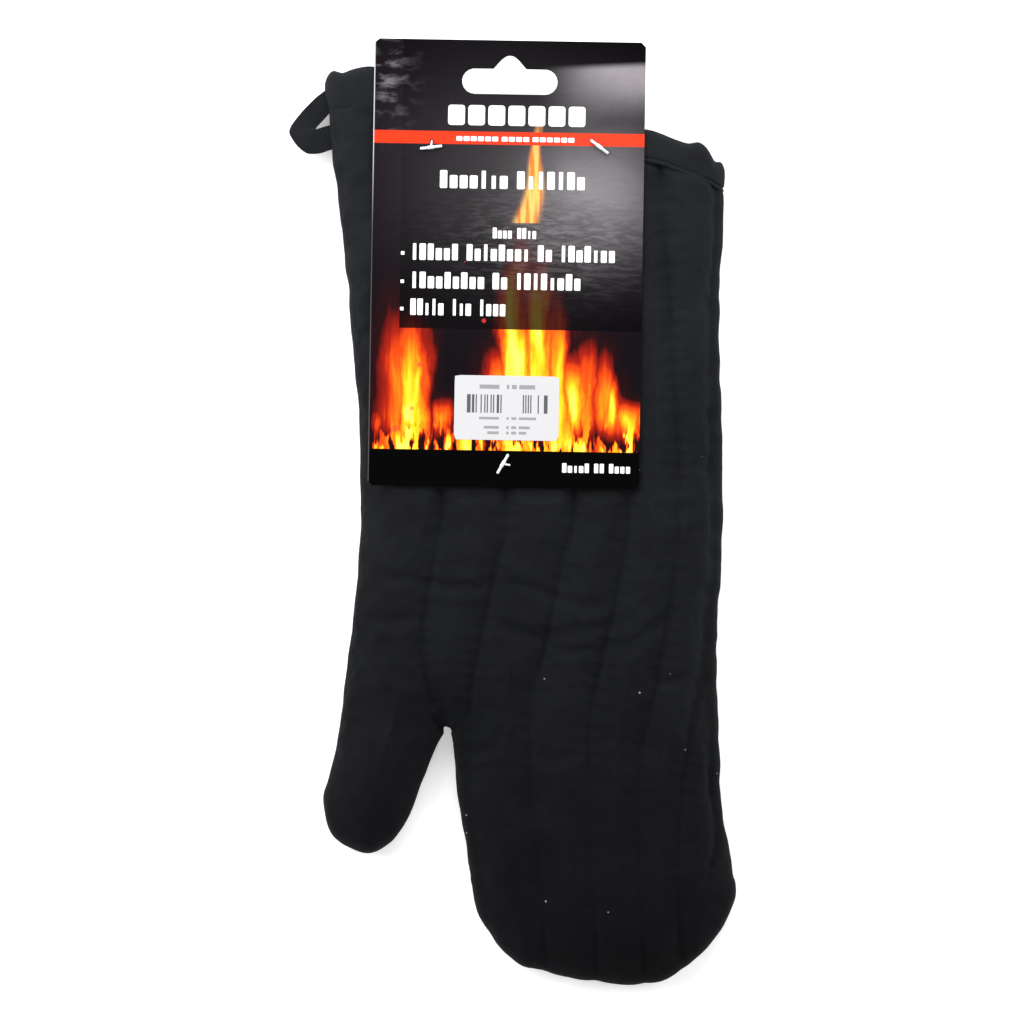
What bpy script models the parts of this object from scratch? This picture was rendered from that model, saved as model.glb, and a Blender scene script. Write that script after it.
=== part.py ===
"""A quilted grilling mitt on its retail card, lying palm side up on its back panel.

The mitt is two quilted walls joined round the edge by a seam that stands SEAM_HEIGHT above the table.
Each wall is three layers: an outer cotton shell, a batting and an inner lining. The front wall rises over
the hand's space and the back wall lies flat. The walls are divided at ROOT_Y into a gauntlet, a finger
pocket and a thumb, which bend there. A binding finishes the cuff, a folded tape makes the hanging loop,
and three nylon fasteners hold the printed card to the front wall.

Frame: X across the mitt with the thumb at -X, Y along it with the cuff at +Y, Z up from the table. The
origin is under the middle of the mitt's length and width.
"""

import math

import bmesh
import bpy
from mathutils import Matrix, Vector

MM = 0.001

# The mitt's outline from above in millimetres, from the cuff's left corner down round the thumb, over the
# notch, round the fingers and up to the cuff's right corner. The comments name the points used below.
OUTLINE_MM = (
    (-86.0, 197.0),
    (-84.4, 166.0),
    (-79.8, 122.0),
    (-74.8, 76.0),
    (-72.2, 24.0),
    (-72.9, -20.0),
    (-77.4, -54.0),
    (-81.4, -88.4),  # thumb root, outer side
    (-85.0, -105.0),
    (-87.6, -118.0),
    (-83.0, -132.0),
    (-68.5, -138.9),  # thumb tip
    (-55.5, -129.5),
    (-47.0, -112.0),
    (-38.4, -88.4),  # thumb root, inner side
    (-35.2, -86.6),
    (-32.2, -88.4),  # finger root, inner side
    (-31.0, -112.0),
    (-26.0, -142.0),
    (-19.4, -168.0),
    (-4.0, -185.5),
    (26.0, -193.6),  # finger tip
    (55.0, -193.4),
    (75.0, -179.0),
    (86.2, -160.0),
    (85.6, -142.0),
    (81.0, -117.0),
    (79.4, -88.4),  # finger root, outer side
    (79.0, -56.0),
    (81.6, -6.0),
    (81.2, 48.0),
    (80.2, 96.0),
    (82.0, 134.0),
    (83.6, 164.0),
)
THUMB_OUTER, THUMB_TIP, THUMB_INNER, FINGER_INNER, FINGER_TIP, FINGER_OUTER = 7, 11, 14, 16, 21, 27
LAST = len(OUTLINE_MM) - 1
STEPS_PER_POINT = 8

# The layers of a wall, outermost first, with the gap that keeps neighbours apart.
GAP = 0.3 * MM
SHELL = 0.8 * MM
BATTING = 4.0 * MM
LAYERS = {"shell": (0.0, SHELL)}
LAYERS["batting"] = (SHELL + GAP, SHELL + GAP + BATTING)
LAYERS["lining"] = (LAYERS["batting"][1] + GAP, LAYERS["batting"][1] + GAP + SHELL)
WALL = LAYERS["lining"][1]

SEAM_HEIGHT = 7.0 * MM
FRONT_TOP = 26.0 * MM
FRONT_ROUND = 28.0 * MM  # how far in from the edge the front wall reaches its full height
BACK_ROUND = 10.0 * MM

ROOT_Y = -88.0 * MM  # where the fingers and thumb bend
CUFF_LEFT_Y, CUFF_RIGHT_Y, CUFF_CROWN = 194.3 * MM, 154.0 * MM, 5.0 * MM

# The cuff binding: a tape folded over the walls' ends, let into both faces of the wall.
BINDING_DEPTH = 13.5 * MM
BINDING_TAPE = 0.6 * MM
HEM_SQUEEZE = BINDING_TAPE + GAP
HEM_RAMP = 1.7 * MM

# The seam allowance that runs round the inside, as a rolled edge.
ALLOWANCE_RADIUS = 1.6 * MM
ALLOWANCE_INSET = WALL + 3.4 * MM
ALLOWANCE_Z = WALL + 2.5 * MM

# The hanging loop: a tape sewn in the left side seam, doubled back on itself.
TAPE_WIDTH, TAPE_THICKNESS = 11.0 * MM, 1.4 * MM
LOOP_ROOT = Vector((-86.4 * MM, 171.0 * MM, SEAM_HEIGHT))  # just clear of the side seam
LOOP_REACH, LOOP_SPREAD, LOOP_PINCH = 15.6 * MM, 4.0 * MM, 0.85 * MM
LOOP_LEAN, LOOP_SAG = 11.0 * MM, 6.0 * MM  # how far apart the ends are along the seam, and its droop
LOOP_TURN_STEPS = 7

CARD_WIDTH, CARD_HEIGHT, CARD_THICKNESS = 115.0 * MM, 189.6 * MM, 0.5 * MM
CARD_CENTRE = Vector((-9.9 * MM, 111.1 * MM, FRONT_TOP + 0.4 * MM + CARD_THICKNESS / 2))
CARD_TURN = math.radians(-0.95)
CARD_CORNER = 2.0 * MM
SLOT_WIDTH, SLOT_HEIGHT, SLOT_FROM_TOP = 40.5 * MM, 10.7 * MM, 17.5 * MM
SLOT_BUMP_RADIUS, SLOT_BUMP_RISE = 5.6 * MM, 2.4 * MM
LABEL_SIZE = Vector((44.3 * MM, 27.3 * MM, 0.2 * MM))
LABEL_FROM_CARD = Vector((0.9 * MM, -61.0 * MM, CARD_THICKNESS / 2 + GAP + LABEL_SIZE.z / 2))

FASTENER_BAR, FASTENER_BAR_RADIUS = 10.0 * MM, 0.65 * MM
FILAMENT_RADIUS, FILAMENT_HOLE = 0.45 * MM, 0.85 * MM
FASTENERS = {  # place from above, and the turn of the bar on the card
    "left": (Vector((-42.0 * MM, 160.6 * MM)), math.radians(7)),
    "right": (Vector((29.4 * MM, 160.8 * MM)), math.radians(-37)),
    "bottom": (Vector((-11.6 * MM, 26.4 * MM)), math.radians(60)),
}

FRONT_COLUMNS = {"gauntlet": 17, "fingers": 11, "thumb": 9}
BACK_COLUMNS = 7
POCKET_ROWS = {"fingers": 15, "thumb": 11}
POCKET_CROWDING = 1.6  # above 1, the rows crowd towards the tip
GAUNTLET_ROWS = (0.0, 0.035, 0.09, 0.17, 0.28, 0.40, 0.52, 0.64, 0.77, 0.88)

COLOURS = {  # base colour, roughness
    "black_cotton": ((0.018, 0.020, 0.022, 1), 0.9),
    "grey_batting": ((0.55, 0.54, 0.52, 1), 1.0),
    "lining_cotton": ((0.030, 0.031, 0.033, 1), 0.95),
    "card_print": ((0.035, 0.030, 0.030, 1), 0.25),
    "label_paper": ((0.80, 0.80, 0.78, 1), 0.5),
    "clear_nylon": ((0.85, 0.85, 0.85, 1), 0.35),
}


def outline_at(position):
    """The outline's point at a place along it, where whole numbers are OUTLINE_MM's own points."""
    low = min(int(position), LAST - 1)
    t = position - low
    before, start, end, after = (
        Vector(OUTLINE_MM[min(max(low + step, 0), LAST)]) for step in (-1, 0, 1, 2)
    )
    curve = 2 * start + (end - before) * t
    curve += (2 * before - 5 * start + 4 * end - after) * t**2
    curve += (3 * start - before - 3 * end + after) * t**3
    return curve / 2 * MM


def stretch(first, last):
    """The outline between two of its points, as closely spaced points."""
    count = abs(last - first) * STEPS_PER_POINT
    return [outline_at(first + (last - first) * i / count) for i in range(count + 1)]


SIDES = (stretch(0, THUMB_TIP), stretch(FINGER_TIP, LAST))
NOTCH = (stretch(THUMB_TIP, FINGER_TIP),)


def distance_to(lines, point):
    """How far a point is from the nearest of some lines, seen from above."""
    best = math.inf
    for line in lines:
        for start, end in zip(line, line[1:]):
            along = end - start
            share = min(max((point - start).dot(along) / along.length_squared, 0), 1)
            best = min(best, (point - start - along * share).length)
    return best


def dome(reach):
    """A quarter ellipse: 0 at the edge, 1 from a reach of 1 on."""
    return math.sqrt(1 - (1 - min(max(reach, 0), 1)) ** 2)


def face_height(side, body, point, inset):
    """The height of a wall's surface, as deep in the wall as inset, over a point from above."""
    base = SEAM_HEIGHT + (GAP / 2 if side == "front" else -GAP / 2)
    full = (FRONT_TOP - base if side == "front" else base) - inset
    rounding = (FRONT_ROUND if side == "front" else BACK_ROUND) - inset
    share = dome((distance_to(SIDES, point) - inset) / rounding)
    at_notch = dome((distance_to(NOTCH, point) - inset) / rounding)
    if body == "gauntlet" and inset <= WALL:  # pinched together over the notch, at full thickness
        at_notch = max(at_notch, (WALL - inset) / full)
    rise = full * min(share, at_notch)
    return base + rise if side == "front" else base - rise


def crossing(line, y):
    """The x at which a line from above crosses a level of y."""
    for start, end in zip(line, line[1:]):
        if min(start.y, end.y) <= y <= max(start.y, end.y):
            return start.x + (end.x - start.x) * (y - start.y) / (end.y - start.y)
    raise ValueError(f"the outline doesn't reach y {y}")


GAUNTLET_LEFT, GAUNTLET_RIGHT = stretch(0, THUMB_OUTER), stretch(FINGER_OUTER, LAST)
GAUNTLET_LOW = ROOT_Y + GAP / 2


def gauntlet_point(side, across, share, depth, inset):
    """A point on a surface of the gauntlet's wall.

    across runs from -1 at the left to 1 at the right. share runs from 0 at the root line to 1 at the
    cuff's edge, and depth is how far short of that the point stops.
    """
    ends = []
    for line, cuff in ((GAUNTLET_LEFT, CUFF_LEFT_Y), (GAUNTLET_RIGHT, CUFF_RIGHT_Y)):
        y = GAUNTLET_LOW + (cuff - GAUNTLET_LOW) * share - depth
        ends.append(Vector((crossing(line, y), y)))
    left, right = ends
    x = left.x + inset + (right.x - left.x - 2 * inset) * (across + 1) / 2
    place = (x - left.x) / (right.x - left.x)
    y = left.y + (right.y - left.y) * place + CUFF_CROWN * 4 * place * (1 - place) * share
    return Vector((x, y, face_height(side, "gauntlet", Vector((x, y)), inset)))


def gauntlet_surface(side, columns, inset):
    """Rows of points from the root line to the cuff. The last rows are squeezed in by the binding."""
    rows = [[gauntlet_point(side, u, share, 0, inset) for u in columns] for share in GAUNTLET_ROWS]
    for depth, squeeze in (
        (BINDING_DEPTH + GAP + HEM_RAMP, 0),
        (BINDING_DEPTH + GAP, HEM_SQUEEZE),
        (BINDING_TAPE + 2 * GAP, HEM_SQUEEZE),
    ):
        rows.append([gauntlet_point(side, u, 1, depth, inset + squeeze) for u in columns])
    return rows


def inset_edge(first, last, inset, count):
    """The outline from a root to its tip, moved in by inset, as a number of points."""
    line = stretch(first, last)
    run = [0.0]
    for start, end in zip(line, line[1:]):
        run.append(run[-1] + (end - start).length)
    inward = 1 if last > first else -1
    points = []
    for row in range(count):
        target = run[-1] * (1 - (1 - row / (count - 1)) ** POCKET_CROWDING)
        i = max(j for j in range(len(line) - 1) if run[j] <= target + 1e-12)
        along = (line[i + 1] - line[i]).normalized()
        if row == count - 1:  # both edges meet at the tip, so both use the tip's own direction
            along = (outline_at(last + 0.1) - outline_at(last - 0.1)).normalized() * inward
        place = line[i] + (line[i + 1] - line[i]) * (target - run[i]) / (run[i + 1] - run[i])
        points.append(place + Vector((-along.y, along.x)) * inward * inset)
    points[0].y = ROOT_Y - GAP / 2
    return points


def pocket_surface(body, side, columns, inset):
    """Rows of points from the root line to the tip of the fingers or the thumb, where they meet."""
    outer, tip, inner = (
        (FINGER_OUTER, FINGER_TIP, FINGER_INNER)
        if body == "fingers"
        else (THUMB_INNER, THUMB_TIP, THUMB_OUTER)
    )
    rows = []
    count = POCKET_ROWS[body]
    edges = inset_edge(inner, tip, inset, count), inset_edge(outer, tip, inset, count)
    for left, right in zip(*edges):
        flat = [left + (right - left) * (u + 1) / 2 for u in columns]
        rows.append([Vector((*p, face_height(side, body, p, inset))) for p in flat])
    return rows


def columns(count):
    """Places across a wall from -1 to 1, closer together towards its edges."""
    return [math.sin(math.pi / 2 * (2 * i / (count - 1) - 1)) for i in range(count)]


def finish_mesh(bm, name, material, pivot):
    """Makes an object of a bmesh in world coordinates, hung on the empty at its body's pivot."""
    bmesh.ops.remove_doubles(bm, verts=bm.verts, dist=1e-7)
    bmesh.ops.recalc_face_normals(bm, faces=bm.faces)
    if bm.calc_volume(signed=True) < 0:
        bmesh.ops.reverse_faces(bm, faces=bm.faces)
    bmesh.ops.translate(bm, verts=bm.verts, vec=-pivot.location)
    mesh = bpy.data.meshes.new(name)
    bm.to_mesh(mesh)
    bm.free()
    mesh.materials.append(material)
    obj = bpy.data.objects.new(name, mesh)
    obj.parent = pivot
    bpy.data.collections["mitt"].objects.link(obj)
    return obj


def wall_layer(name, outer, inner, material, pivot):
    """A closed sheet between two surfaces that are given as matching rows of points."""
    bm = bmesh.new()
    grids = [[[bm.verts.new(p) for p in row] for row in rows] for rows in (outer, inner)]
    for grid in grids:
        for low, high in zip(grid, grid[1:]):
            for i in range(len(low) - 1):
                bm.faces.new((low[i], low[i + 1], high[i + 1], high[i]))
    rims = []
    for grid in grids:
        left, right = [row[0] for row in grid], [row[-1] for row in grid]
        rims.append(grid[0] + right[1:] + grid[-1][-2::-1] + left[-2:0:-1])
    for i in range(len(rims[0])):
        j = (i + 1) % len(rims[0])
        bm.faces.new((rims[0][i], rims[0][j], rims[1][j], rims[1][i]))
    return finish_mesh(bm, name, material, pivot)


def walls(materials, pivots):
    """The three layers of the front and back walls, for each part of the mitt."""
    finishes = {"shell": "black_cotton", "batting": "grey_batting", "lining": "lining_cotton"}
    for body in ("gauntlet", "fingers", "thumb"):
        for side in ("front", "back"):
            across = columns(FRONT_COLUMNS[body] if side == "front" else BACK_COLUMNS)
            for layer, insets in LAYERS.items():
                surfaces = [
                    gauntlet_surface(side, across, inset)
                    if body == "gauntlet"
                    else pocket_surface(body, side, across, inset)
                    for inset in insets
                ]
                name = f"{side}_{layer}_{body}"
                wall_layer(name, *surfaces, materials[finishes[layer]], pivots[body])


def cuff_binding(materials, pivots):
    """The tape round the mouth, with a U section: outer flange, edge and inner flange."""
    outside, inside = 0.0, WALL + HEM_SQUEEZE + GAP
    section = (  # depth below the cuff's edge, inset from the outer surface
        (BINDING_DEPTH, outside),
        (0.0, outside),
        (0.0, inside + BINDING_TAPE),
        (BINDING_DEPTH, inside + BINDING_TAPE),
        (BINDING_DEPTH, inside),
        (BINDING_TAPE, inside),
        (BINDING_TAPE, outside + BINDING_TAPE),
        (BINDING_DEPTH, outside + BINDING_TAPE),
    )
    bm = bmesh.new()
    stations = [("front", u) for u in columns(FRONT_COLUMNS["gauntlet"])]
    stations += [("back", u) for u in reversed(columns(BACK_COLUMNS))]
    rings = [
        [bm.verts.new(gauntlet_point(side, u, 1, depth, inset)) for depth, inset in section]
        for side, u in stations
    ]
    for ring, following in zip(rings, rings[1:] + rings[:1]):
        for i in range(len(section)):
            j = (i + 1) % len(section)
            bm.faces.new((ring[i], ring[j], following[j], following[i]))
    finish_mesh(bm, "cuff_binding", materials["black_cotton"], pivots["gauntlet"])


def tube(name, points, radius, material, pivot):
    """A round cord along points in world coordinates."""
    curve = bpy.data.curves.new(name, "CURVE")
    curve.dimensions = "3D"
    curve.bevel_depth = radius
    curve.bevel_resolution = 1
    curve.use_fill_caps = True
    spline = curve.splines.new("POLY")
    spline.points.add(len(points) - 1)
    for spline_point, place in zip(spline.points, points):
        spline_point.co = (*(place - pivot.location), 1)
    curve.materials.append(material)
    obj = bpy.data.objects.new(name, curve)
    obj.parent = pivot
    bpy.data.collections["mitt"].objects.link(obj)


def allowance_line(first, last, every):
    """The seam allowance's centreline along a stretch of the outline."""
    points = []
    for i in range(int((last - first) * every) + 1):
        position = first + i / every
        ahead = outline_at(min(position + 0.1, LAST)) - outline_at(max(position - 0.1, 0))
        inward = Vector((-ahead.y, ahead.x)).normalized()
        points.append(Vector((*(outline_at(position) + inward * ALLOWANCE_INSET), ALLOWANCE_Z)))
    return points


def trimmed(points, keep, level):
    """The part of a line on one side of a level of y, ended exactly on that level."""
    out = []
    for start, end in zip(points, points[1:]):
        crossing_share = (level - start.y) / (end.y - start.y) if end.y != start.y else -1
        if keep(start.y):
            out.append(start)
        if keep(start.y) != keep(end.y):
            out.append(start + (end - start) * crossing_share)
    if keep(points[-1].y):
        out.append(points[-1])
    return out


def seam_allowance(materials, pivots):
    """The rolled raw edges of the side seam, inside the mitt."""
    cotton = materials["lining_cotton"]
    below, above = ROOT_Y - GAP / 2, GAUNTLET_LOW
    mouths = [cuff - BINDING_DEPTH - 2 * GAP - ALLOWANCE_RADIUS for cuff in (CUFF_LEFT_Y, CUFF_RIGHT_Y)]
    for name, body, first, last in (
        ("seam_allowance_thumb", "thumb", THUMB_OUTER - 1, THUMB_INNER + 0.5),
        ("seam_allowance_fingers", "fingers", FINGER_INNER - 0.5, FINGER_OUTER + 1),
    ):
        line = trimmed(allowance_line(first, last, 2), lambda y: y < below, below)
        tube(name, line, ALLOWANCE_RADIUS, cotton, pivots[body])
    for name, first, last, mouth in (
        ("seam_allowance_left", 0, THUMB_OUTER + 0.5, mouths[0]),
        ("seam_allowance_right", FINGER_OUTER - 0.5, LAST, mouths[1]),
    ):
        line = trimmed(allowance_line(first, last, 2), lambda y: y > above, above)
        line = trimmed(line, lambda y: y < mouth, mouth)
        tube(name, line, ALLOWANCE_RADIUS, cotton, pivots["gauntlet"])
    middle = (outline_at(THUMB_INNER) + outline_at(FINGER_INNER)) / 2
    radius = (outline_at(FINGER_INNER).x - outline_at(THUMB_INNER).x) / 2 + ALLOWANCE_INSET
    arc = [math.radians(170 - 16 * i) for i in range(11)]
    over = [Vector((middle.x + radius * math.cos(a), above + radius * math.sin(a), ALLOWANCE_Z)) for a in arc]
    tube("seam_allowance_notch", over, ALLOWANCE_RADIUS, cotton, pivots["gauntlet"])


def hanging_loop(materials, pivots):
    """A tape that leaves the seam, doubles back below itself and returns a little nearer the cuff."""
    straight = LOOP_REACH - LOOP_SPREAD
    path = []  # x and z of the tape's middle, from the root
    for share in (0.0, 0.35, 0.7):
        path.append((-straight * share, LOOP_PINCH + (LOOP_SPREAD - LOOP_PINCH) * share**0.6))
    for i in range(LOOP_TURN_STEPS + 1):
        angle = math.pi * i / LOOP_TURN_STEPS
        path.append((-straight - LOOP_SPREAD * math.sin(angle), LOOP_SPREAD * math.cos(angle)))
    path += [(x, -z) for x, z in reversed(path[:3])]
    bm = bmesh.new()
    rows = []
    for i, (x, z) in enumerate(path):
        share = i / (len(path) - 1)
        lean = LOOP_LEAN * (share - 0.5) - LOOP_SAG * math.sin(math.pi * share)
        edges = (lean + TAPE_WIDTH / 2, lean - TAPE_WIDTH / 2)
        rows.append([bm.verts.new(LOOP_ROOT + Vector((x, y, z))) for y in edges])
    for low, high in zip(rows, rows[1:]):
        bm.faces.new((low[0], low[1], high[1], high[0]))
    loop = finish_mesh(bm, "hanging_loop", materials["black_cotton"], pivots["loop"])
    thicken = loop.modifiers.new("tape", "SOLIDIFY")
    thicken.thickness = TAPE_THICKNESS
    thicken.offset = 0


def card_matrix():
    """Places the card's own frame, X across and Y up the card, in the world."""
    return Matrix.Translation(CARD_CENTRE) @ Matrix.Rotation(CARD_TURN, 4, "Z")


def flat_plate(name, splines, thickness, matrix, material, pivot):
    """A flat plate from closed outlines in its own plane, the first around any that cut it."""
    curve = bpy.data.curves.new(name, "CURVE")
    curve.dimensions = "2D"
    curve.fill_mode = "BOTH"
    curve.extrude = thickness / 2
    for outline in splines:
        spline = curve.splines.new("POLY")
        spline.use_cyclic_u = True
        spline.points.add(len(outline) - 1)
        for spline_point, place in zip(spline.points, outline):
            spline_point.co = (*place, 0, 1)
    curve.materials.append(material)
    obj = bpy.data.objects.new(name, curve)
    obj.matrix_world = Matrix.Translation(-pivot.location) @ matrix
    obj.parent = pivot
    bpy.data.collections["mitt"].objects.link(obj)
    return obj


def arc_points(centre, radius, first_degrees, last_degrees, count):
    """Points along an arc, both ends included."""
    step = (last_degrees - first_degrees) / count
    angles = [math.radians(first_degrees + step * i) for i in range(count + 1)]
    return [centre + Vector((math.cos(a), math.sin(a))) * radius for a in angles]


def rounded_rectangle(width, height, radius, count=3):
    """The outline of a rectangle with round corners about its own middle."""
    x, y = width / 2 - radius, height / 2 - radius
    points = []
    for corner, start in (((x, y), 0), ((-x, y), 90), ((-x, -y), 180), ((x, -y), 270)):
        points += arc_points(Vector(corner), radius, start, start + 90, count)
    return points


def slot_outline():
    """The hang slot: a round-ended slot with a round bump in the middle of its upper side."""
    middle = Vector((0, CARD_HEIGHT / 2 - SLOT_FROM_TOP))
    radius = SLOT_HEIGHT / 2
    end = Vector((SLOT_WIDTH / 2 - radius, 0))
    bump = middle + Vector((0, radius - SLOT_BUMP_RADIUS + SLOT_BUMP_RISE + 4.0 * MM))
    points = arc_points(middle + end, radius, -90, 90, 6)
    points += arc_points(bump, SLOT_BUMP_RADIUS, -10, 190, 8)
    points += arc_points(middle - end, radius, 90, 270, 6)
    return points


def card_and_label(materials, pivots):
    """The printed card, and the paper label stuck on it."""
    place = card_matrix()
    outlines = [rounded_rectangle(CARD_WIDTH, CARD_HEIGHT, CARD_CORNER), slot_outline()]
    for spot, _ in FASTENERS.values():
        local = place.inverted() @ Vector((*spot, CARD_CENTRE.z))
        outlines.append(arc_points(local.to_2d(), FILAMENT_HOLE, 0, 315, 7))
    flat_plate("header_card", outlines, CARD_THICKNESS, place, materials["card_print"], pivots["gauntlet"])
    label_place = place @ Matrix.Translation(LABEL_FROM_CARD)
    label = rounded_rectangle(LABEL_SIZE.x, LABEL_SIZE.y, 0.8 * MM, 2)
    paper = materials["label_paper"]
    flat_plate("barcode_label", [label], LABEL_SIZE.z, label_place, paper, pivots["gauntlet"])


def rod(name, start, end, radius, sides):
    """A cylinder between two points, as an object of its own."""
    along = end - start
    turn = along.to_track_quat("Z", "Y").to_matrix().to_4x4()
    bm = bmesh.new()
    bmesh.ops.create_cone(
        bm, cap_ends=True, segments=sides, radius1=radius, radius2=radius, depth=along.length,
        matrix=Matrix.Translation((start + end) / 2) @ turn,
    )
    mesh = bpy.data.meshes.new(name)
    bm.to_mesh(mesh)
    bm.free()
    obj = bpy.data.objects.new(name, mesh)
    bpy.data.collections["cutters"].objects.link(obj)
    obj.hide_render = True
    obj.display_type = "WIRE"
    return obj


def combine(obj, other, operation):
    """Leaves a Boolean modifier on obj."""
    boolean = obj.modifiers.new(operation.lower(), "BOOLEAN")
    boolean.operation = operation
    boolean.object = other


def fasteners(materials, pivots):
    """The nylon fasteners: a bar on the card, a filament through card and wall, a bar inside."""
    card_top = CARD_CENTRE.z + CARD_THICKNESS / 2
    upper = card_top + GAP + FASTENER_BAR_RADIUS
    lower = FRONT_TOP - WALL - HEM_SQUEEZE - BINDING_TAPE - 2 * GAP - FASTENER_BAR_RADIUS
    for name, (spot, turn) in FASTENERS.items():
        half = Vector((math.cos(turn), math.sin(turn), 0)) * FASTENER_BAR / 2
        top, bottom = Vector((*spot, upper)), Vector((*spot, lower))
        obj = rod(f"tag_fastener_{name}", top - half, top + half, FASTENER_BAR_RADIUS, 8)
        for collection in list(obj.users_collection):
            collection.objects.unlink(obj)
        bpy.data.collections["mitt"].objects.link(obj)
        obj.hide_render = False
        obj.display_type = "TEXTURED"
        obj.data.materials.append(materials["clear_nylon"])
        obj.parent = pivots["gauntlet"]
        filament = rod(f"filament_{name}", top, bottom, FILAMENT_RADIUS, 6)
        combine(obj, filament, "UNION")
        combine(obj, rod(f"inner_bar_{name}", bottom - half, bottom + half, FASTENER_BAR_RADIUS, 8), "UNION")
        drill = rod(f"drill_{name}", top, bottom, FILAMENT_HOLE, 6)
        for pierced in [f"front_{layer}_gauntlet" for layer in LAYERS] + ["cuff_binding"]:
            combine(bpy.data.objects[pierced], drill, "DIFFERENCE")


def make_materials():
    """One Principled material for each finish."""
    made = {}
    for name, (colour, roughness) in COLOURS.items():
        material = bpy.data.materials.new(name)
        material.use_nodes = True
        shader = material.node_tree.nodes["Principled BSDF"]
        shader.inputs["Base Color"].default_value = colour
        shader.inputs["Roughness"].default_value = roughness
        shader.inputs["Metallic"].default_value = 0
        made[name] = material
    return made


def make_pivots():
    """An empty for each body, on its joint's axis."""

    def across(one, other):
        return (OUTLINE_MM[one][0] + OUTLINE_MM[other][0]) / 2 * MM

    places = {
        "gauntlet": Vector((0, 0, 0)),
        "fingers": Vector((across(FINGER_INNER, FINGER_OUTER), ROOT_Y, FRONT_TOP)),
        "thumb": Vector((across(THUMB_OUTER, THUMB_INNER), ROOT_Y, FRONT_TOP)),
        "loop": LOOP_ROOT,
    }
    made = {}
    for body, place in places.items():
        empty = bpy.data.objects.new(f"pivot_{body}", None)
        empty.location = place
        bpy.data.collections["mitt"].objects.link(empty)
        made[body] = empty
    return made


def main():
    for obj in list(bpy.data.objects):
        bpy.data.objects.remove(obj)
    for name in ("mitt", "cutters"):
        bpy.context.scene.collection.children.link(bpy.data.collections.new(name))
    materials = make_materials()
    pivots = make_pivots()
    walls(materials, pivots)
    cuff_binding(materials, pivots)
    seam_allowance(materials, pivots)
    hanging_loop(materials, pivots)
    card_and_label(materials, pivots)
    fasteners(materials, pivots)


main()
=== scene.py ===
"""Looks for the quilted grilling mitt on its retail card: soft shells, hem, loop, card, fasteners, stage."""

import math
import random

import bmesh
import bpy
import numpy as np
from mathutils import Matrix, Vector, noise
from mathutils.geometry import delaunay_2d_cdt


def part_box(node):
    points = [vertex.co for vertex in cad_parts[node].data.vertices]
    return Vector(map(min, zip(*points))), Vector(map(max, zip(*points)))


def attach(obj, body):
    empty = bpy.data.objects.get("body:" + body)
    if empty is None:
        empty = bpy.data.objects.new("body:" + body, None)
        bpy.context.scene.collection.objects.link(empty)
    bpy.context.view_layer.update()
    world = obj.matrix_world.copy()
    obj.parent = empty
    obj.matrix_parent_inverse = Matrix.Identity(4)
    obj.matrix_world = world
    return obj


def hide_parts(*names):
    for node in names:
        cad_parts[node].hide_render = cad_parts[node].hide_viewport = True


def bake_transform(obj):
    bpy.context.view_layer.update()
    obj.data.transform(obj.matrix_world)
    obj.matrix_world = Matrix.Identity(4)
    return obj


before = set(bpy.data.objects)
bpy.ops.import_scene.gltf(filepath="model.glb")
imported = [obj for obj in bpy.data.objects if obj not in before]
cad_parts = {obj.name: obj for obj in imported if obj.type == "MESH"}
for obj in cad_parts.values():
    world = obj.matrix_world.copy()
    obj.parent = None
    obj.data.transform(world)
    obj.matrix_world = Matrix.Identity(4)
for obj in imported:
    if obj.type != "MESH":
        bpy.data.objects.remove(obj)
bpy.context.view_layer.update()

MM = 0.001

# ---------------- camera, light and floor

VIEW_CENTRE = Vector((-7.7 * MM, 6.0 * MM))
VIEW_WIDTH = 436.5 * MM
LENS, SENSOR = 400.0, 36.0


def look_at(obj, target):
    """Turns an object so that its -Z points at a place."""
    obj.rotation_euler = (Vector(target) - obj.location).to_track_quat("-Z", "Y").to_euler()


def make_stage():
    """A plain pale floor, soft studio light from all round, and a camera straight above."""
    scene = bpy.context.scene
    scene.view_settings.view_transform = "Standard"

    camera = bpy.data.objects.new("camera", bpy.data.cameras.new("camera"))
    camera.data.lens = LENS
    camera.data.sensor_width = SENSOR
    camera.data.clip_end = 20
    height = VIEW_WIDTH * LENS / SENSOR
    camera.location = (VIEW_CENTRE.x, VIEW_CENTRE.y, height)
    scene.collection.objects.link(camera)
    scene.camera = camera

    world = bpy.data.worlds.new("studio")
    world.use_nodes = True
    background = world.node_tree.nodes["Background"]
    background.inputs["Color"].default_value = (1.0, 1.0, 1.0, 1)
    background.inputs["Strength"].default_value = 0.34
    scene.world = world

    for name, place, size, watts in (
        ("light_left", (-1.3, 0.5, 1.1), 1.2, 27),
        ("light_right", (1.4, 0.3, 1.0), 1.2, 15),
        ("light_head", (0.1, 1.25, 0.9), 1.2, 26),
        ("light_foot", (-0.2, -1.5, 1.2), 1.5, 12),
    ):
        light = bpy.data.objects.new(name, bpy.data.lights.new(name, "AREA"))
        light.data.shape = "SQUARE"
        light.data.size = size
        light.data.energy = watts
        light.location = place
        look_at(light, (0, 0, 0))
        scene.collection.objects.link(light)

    bm = bmesh.new()
    bmesh.ops.create_grid(bm, x_segments=1, y_segments=1, size=4)
    floor = add_mesh("floor", bm)
    floor.location.z = -0.3 * MM
    material = new_material("floor_paper")
    n = Nodes(material)
    n.set(Base_Color=(0.93, 0.93, 0.93), Roughness=0.8, Specular_IOR_Level=0.1)
    n.set(Emission_Color=(1, 1, 1), Emission_Strength=0.28)
    cover(floor, material)


# ---------------- small helpers


def add_mesh(name, bm):
    """Turns a bmesh into an object in the scene."""
    mesh = bpy.data.meshes.new(name)
    bm.to_mesh(mesh)
    bm.free()
    obj = bpy.data.objects.new(name, mesh)
    bpy.context.scene.collection.objects.link(obj)
    return obj


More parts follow.
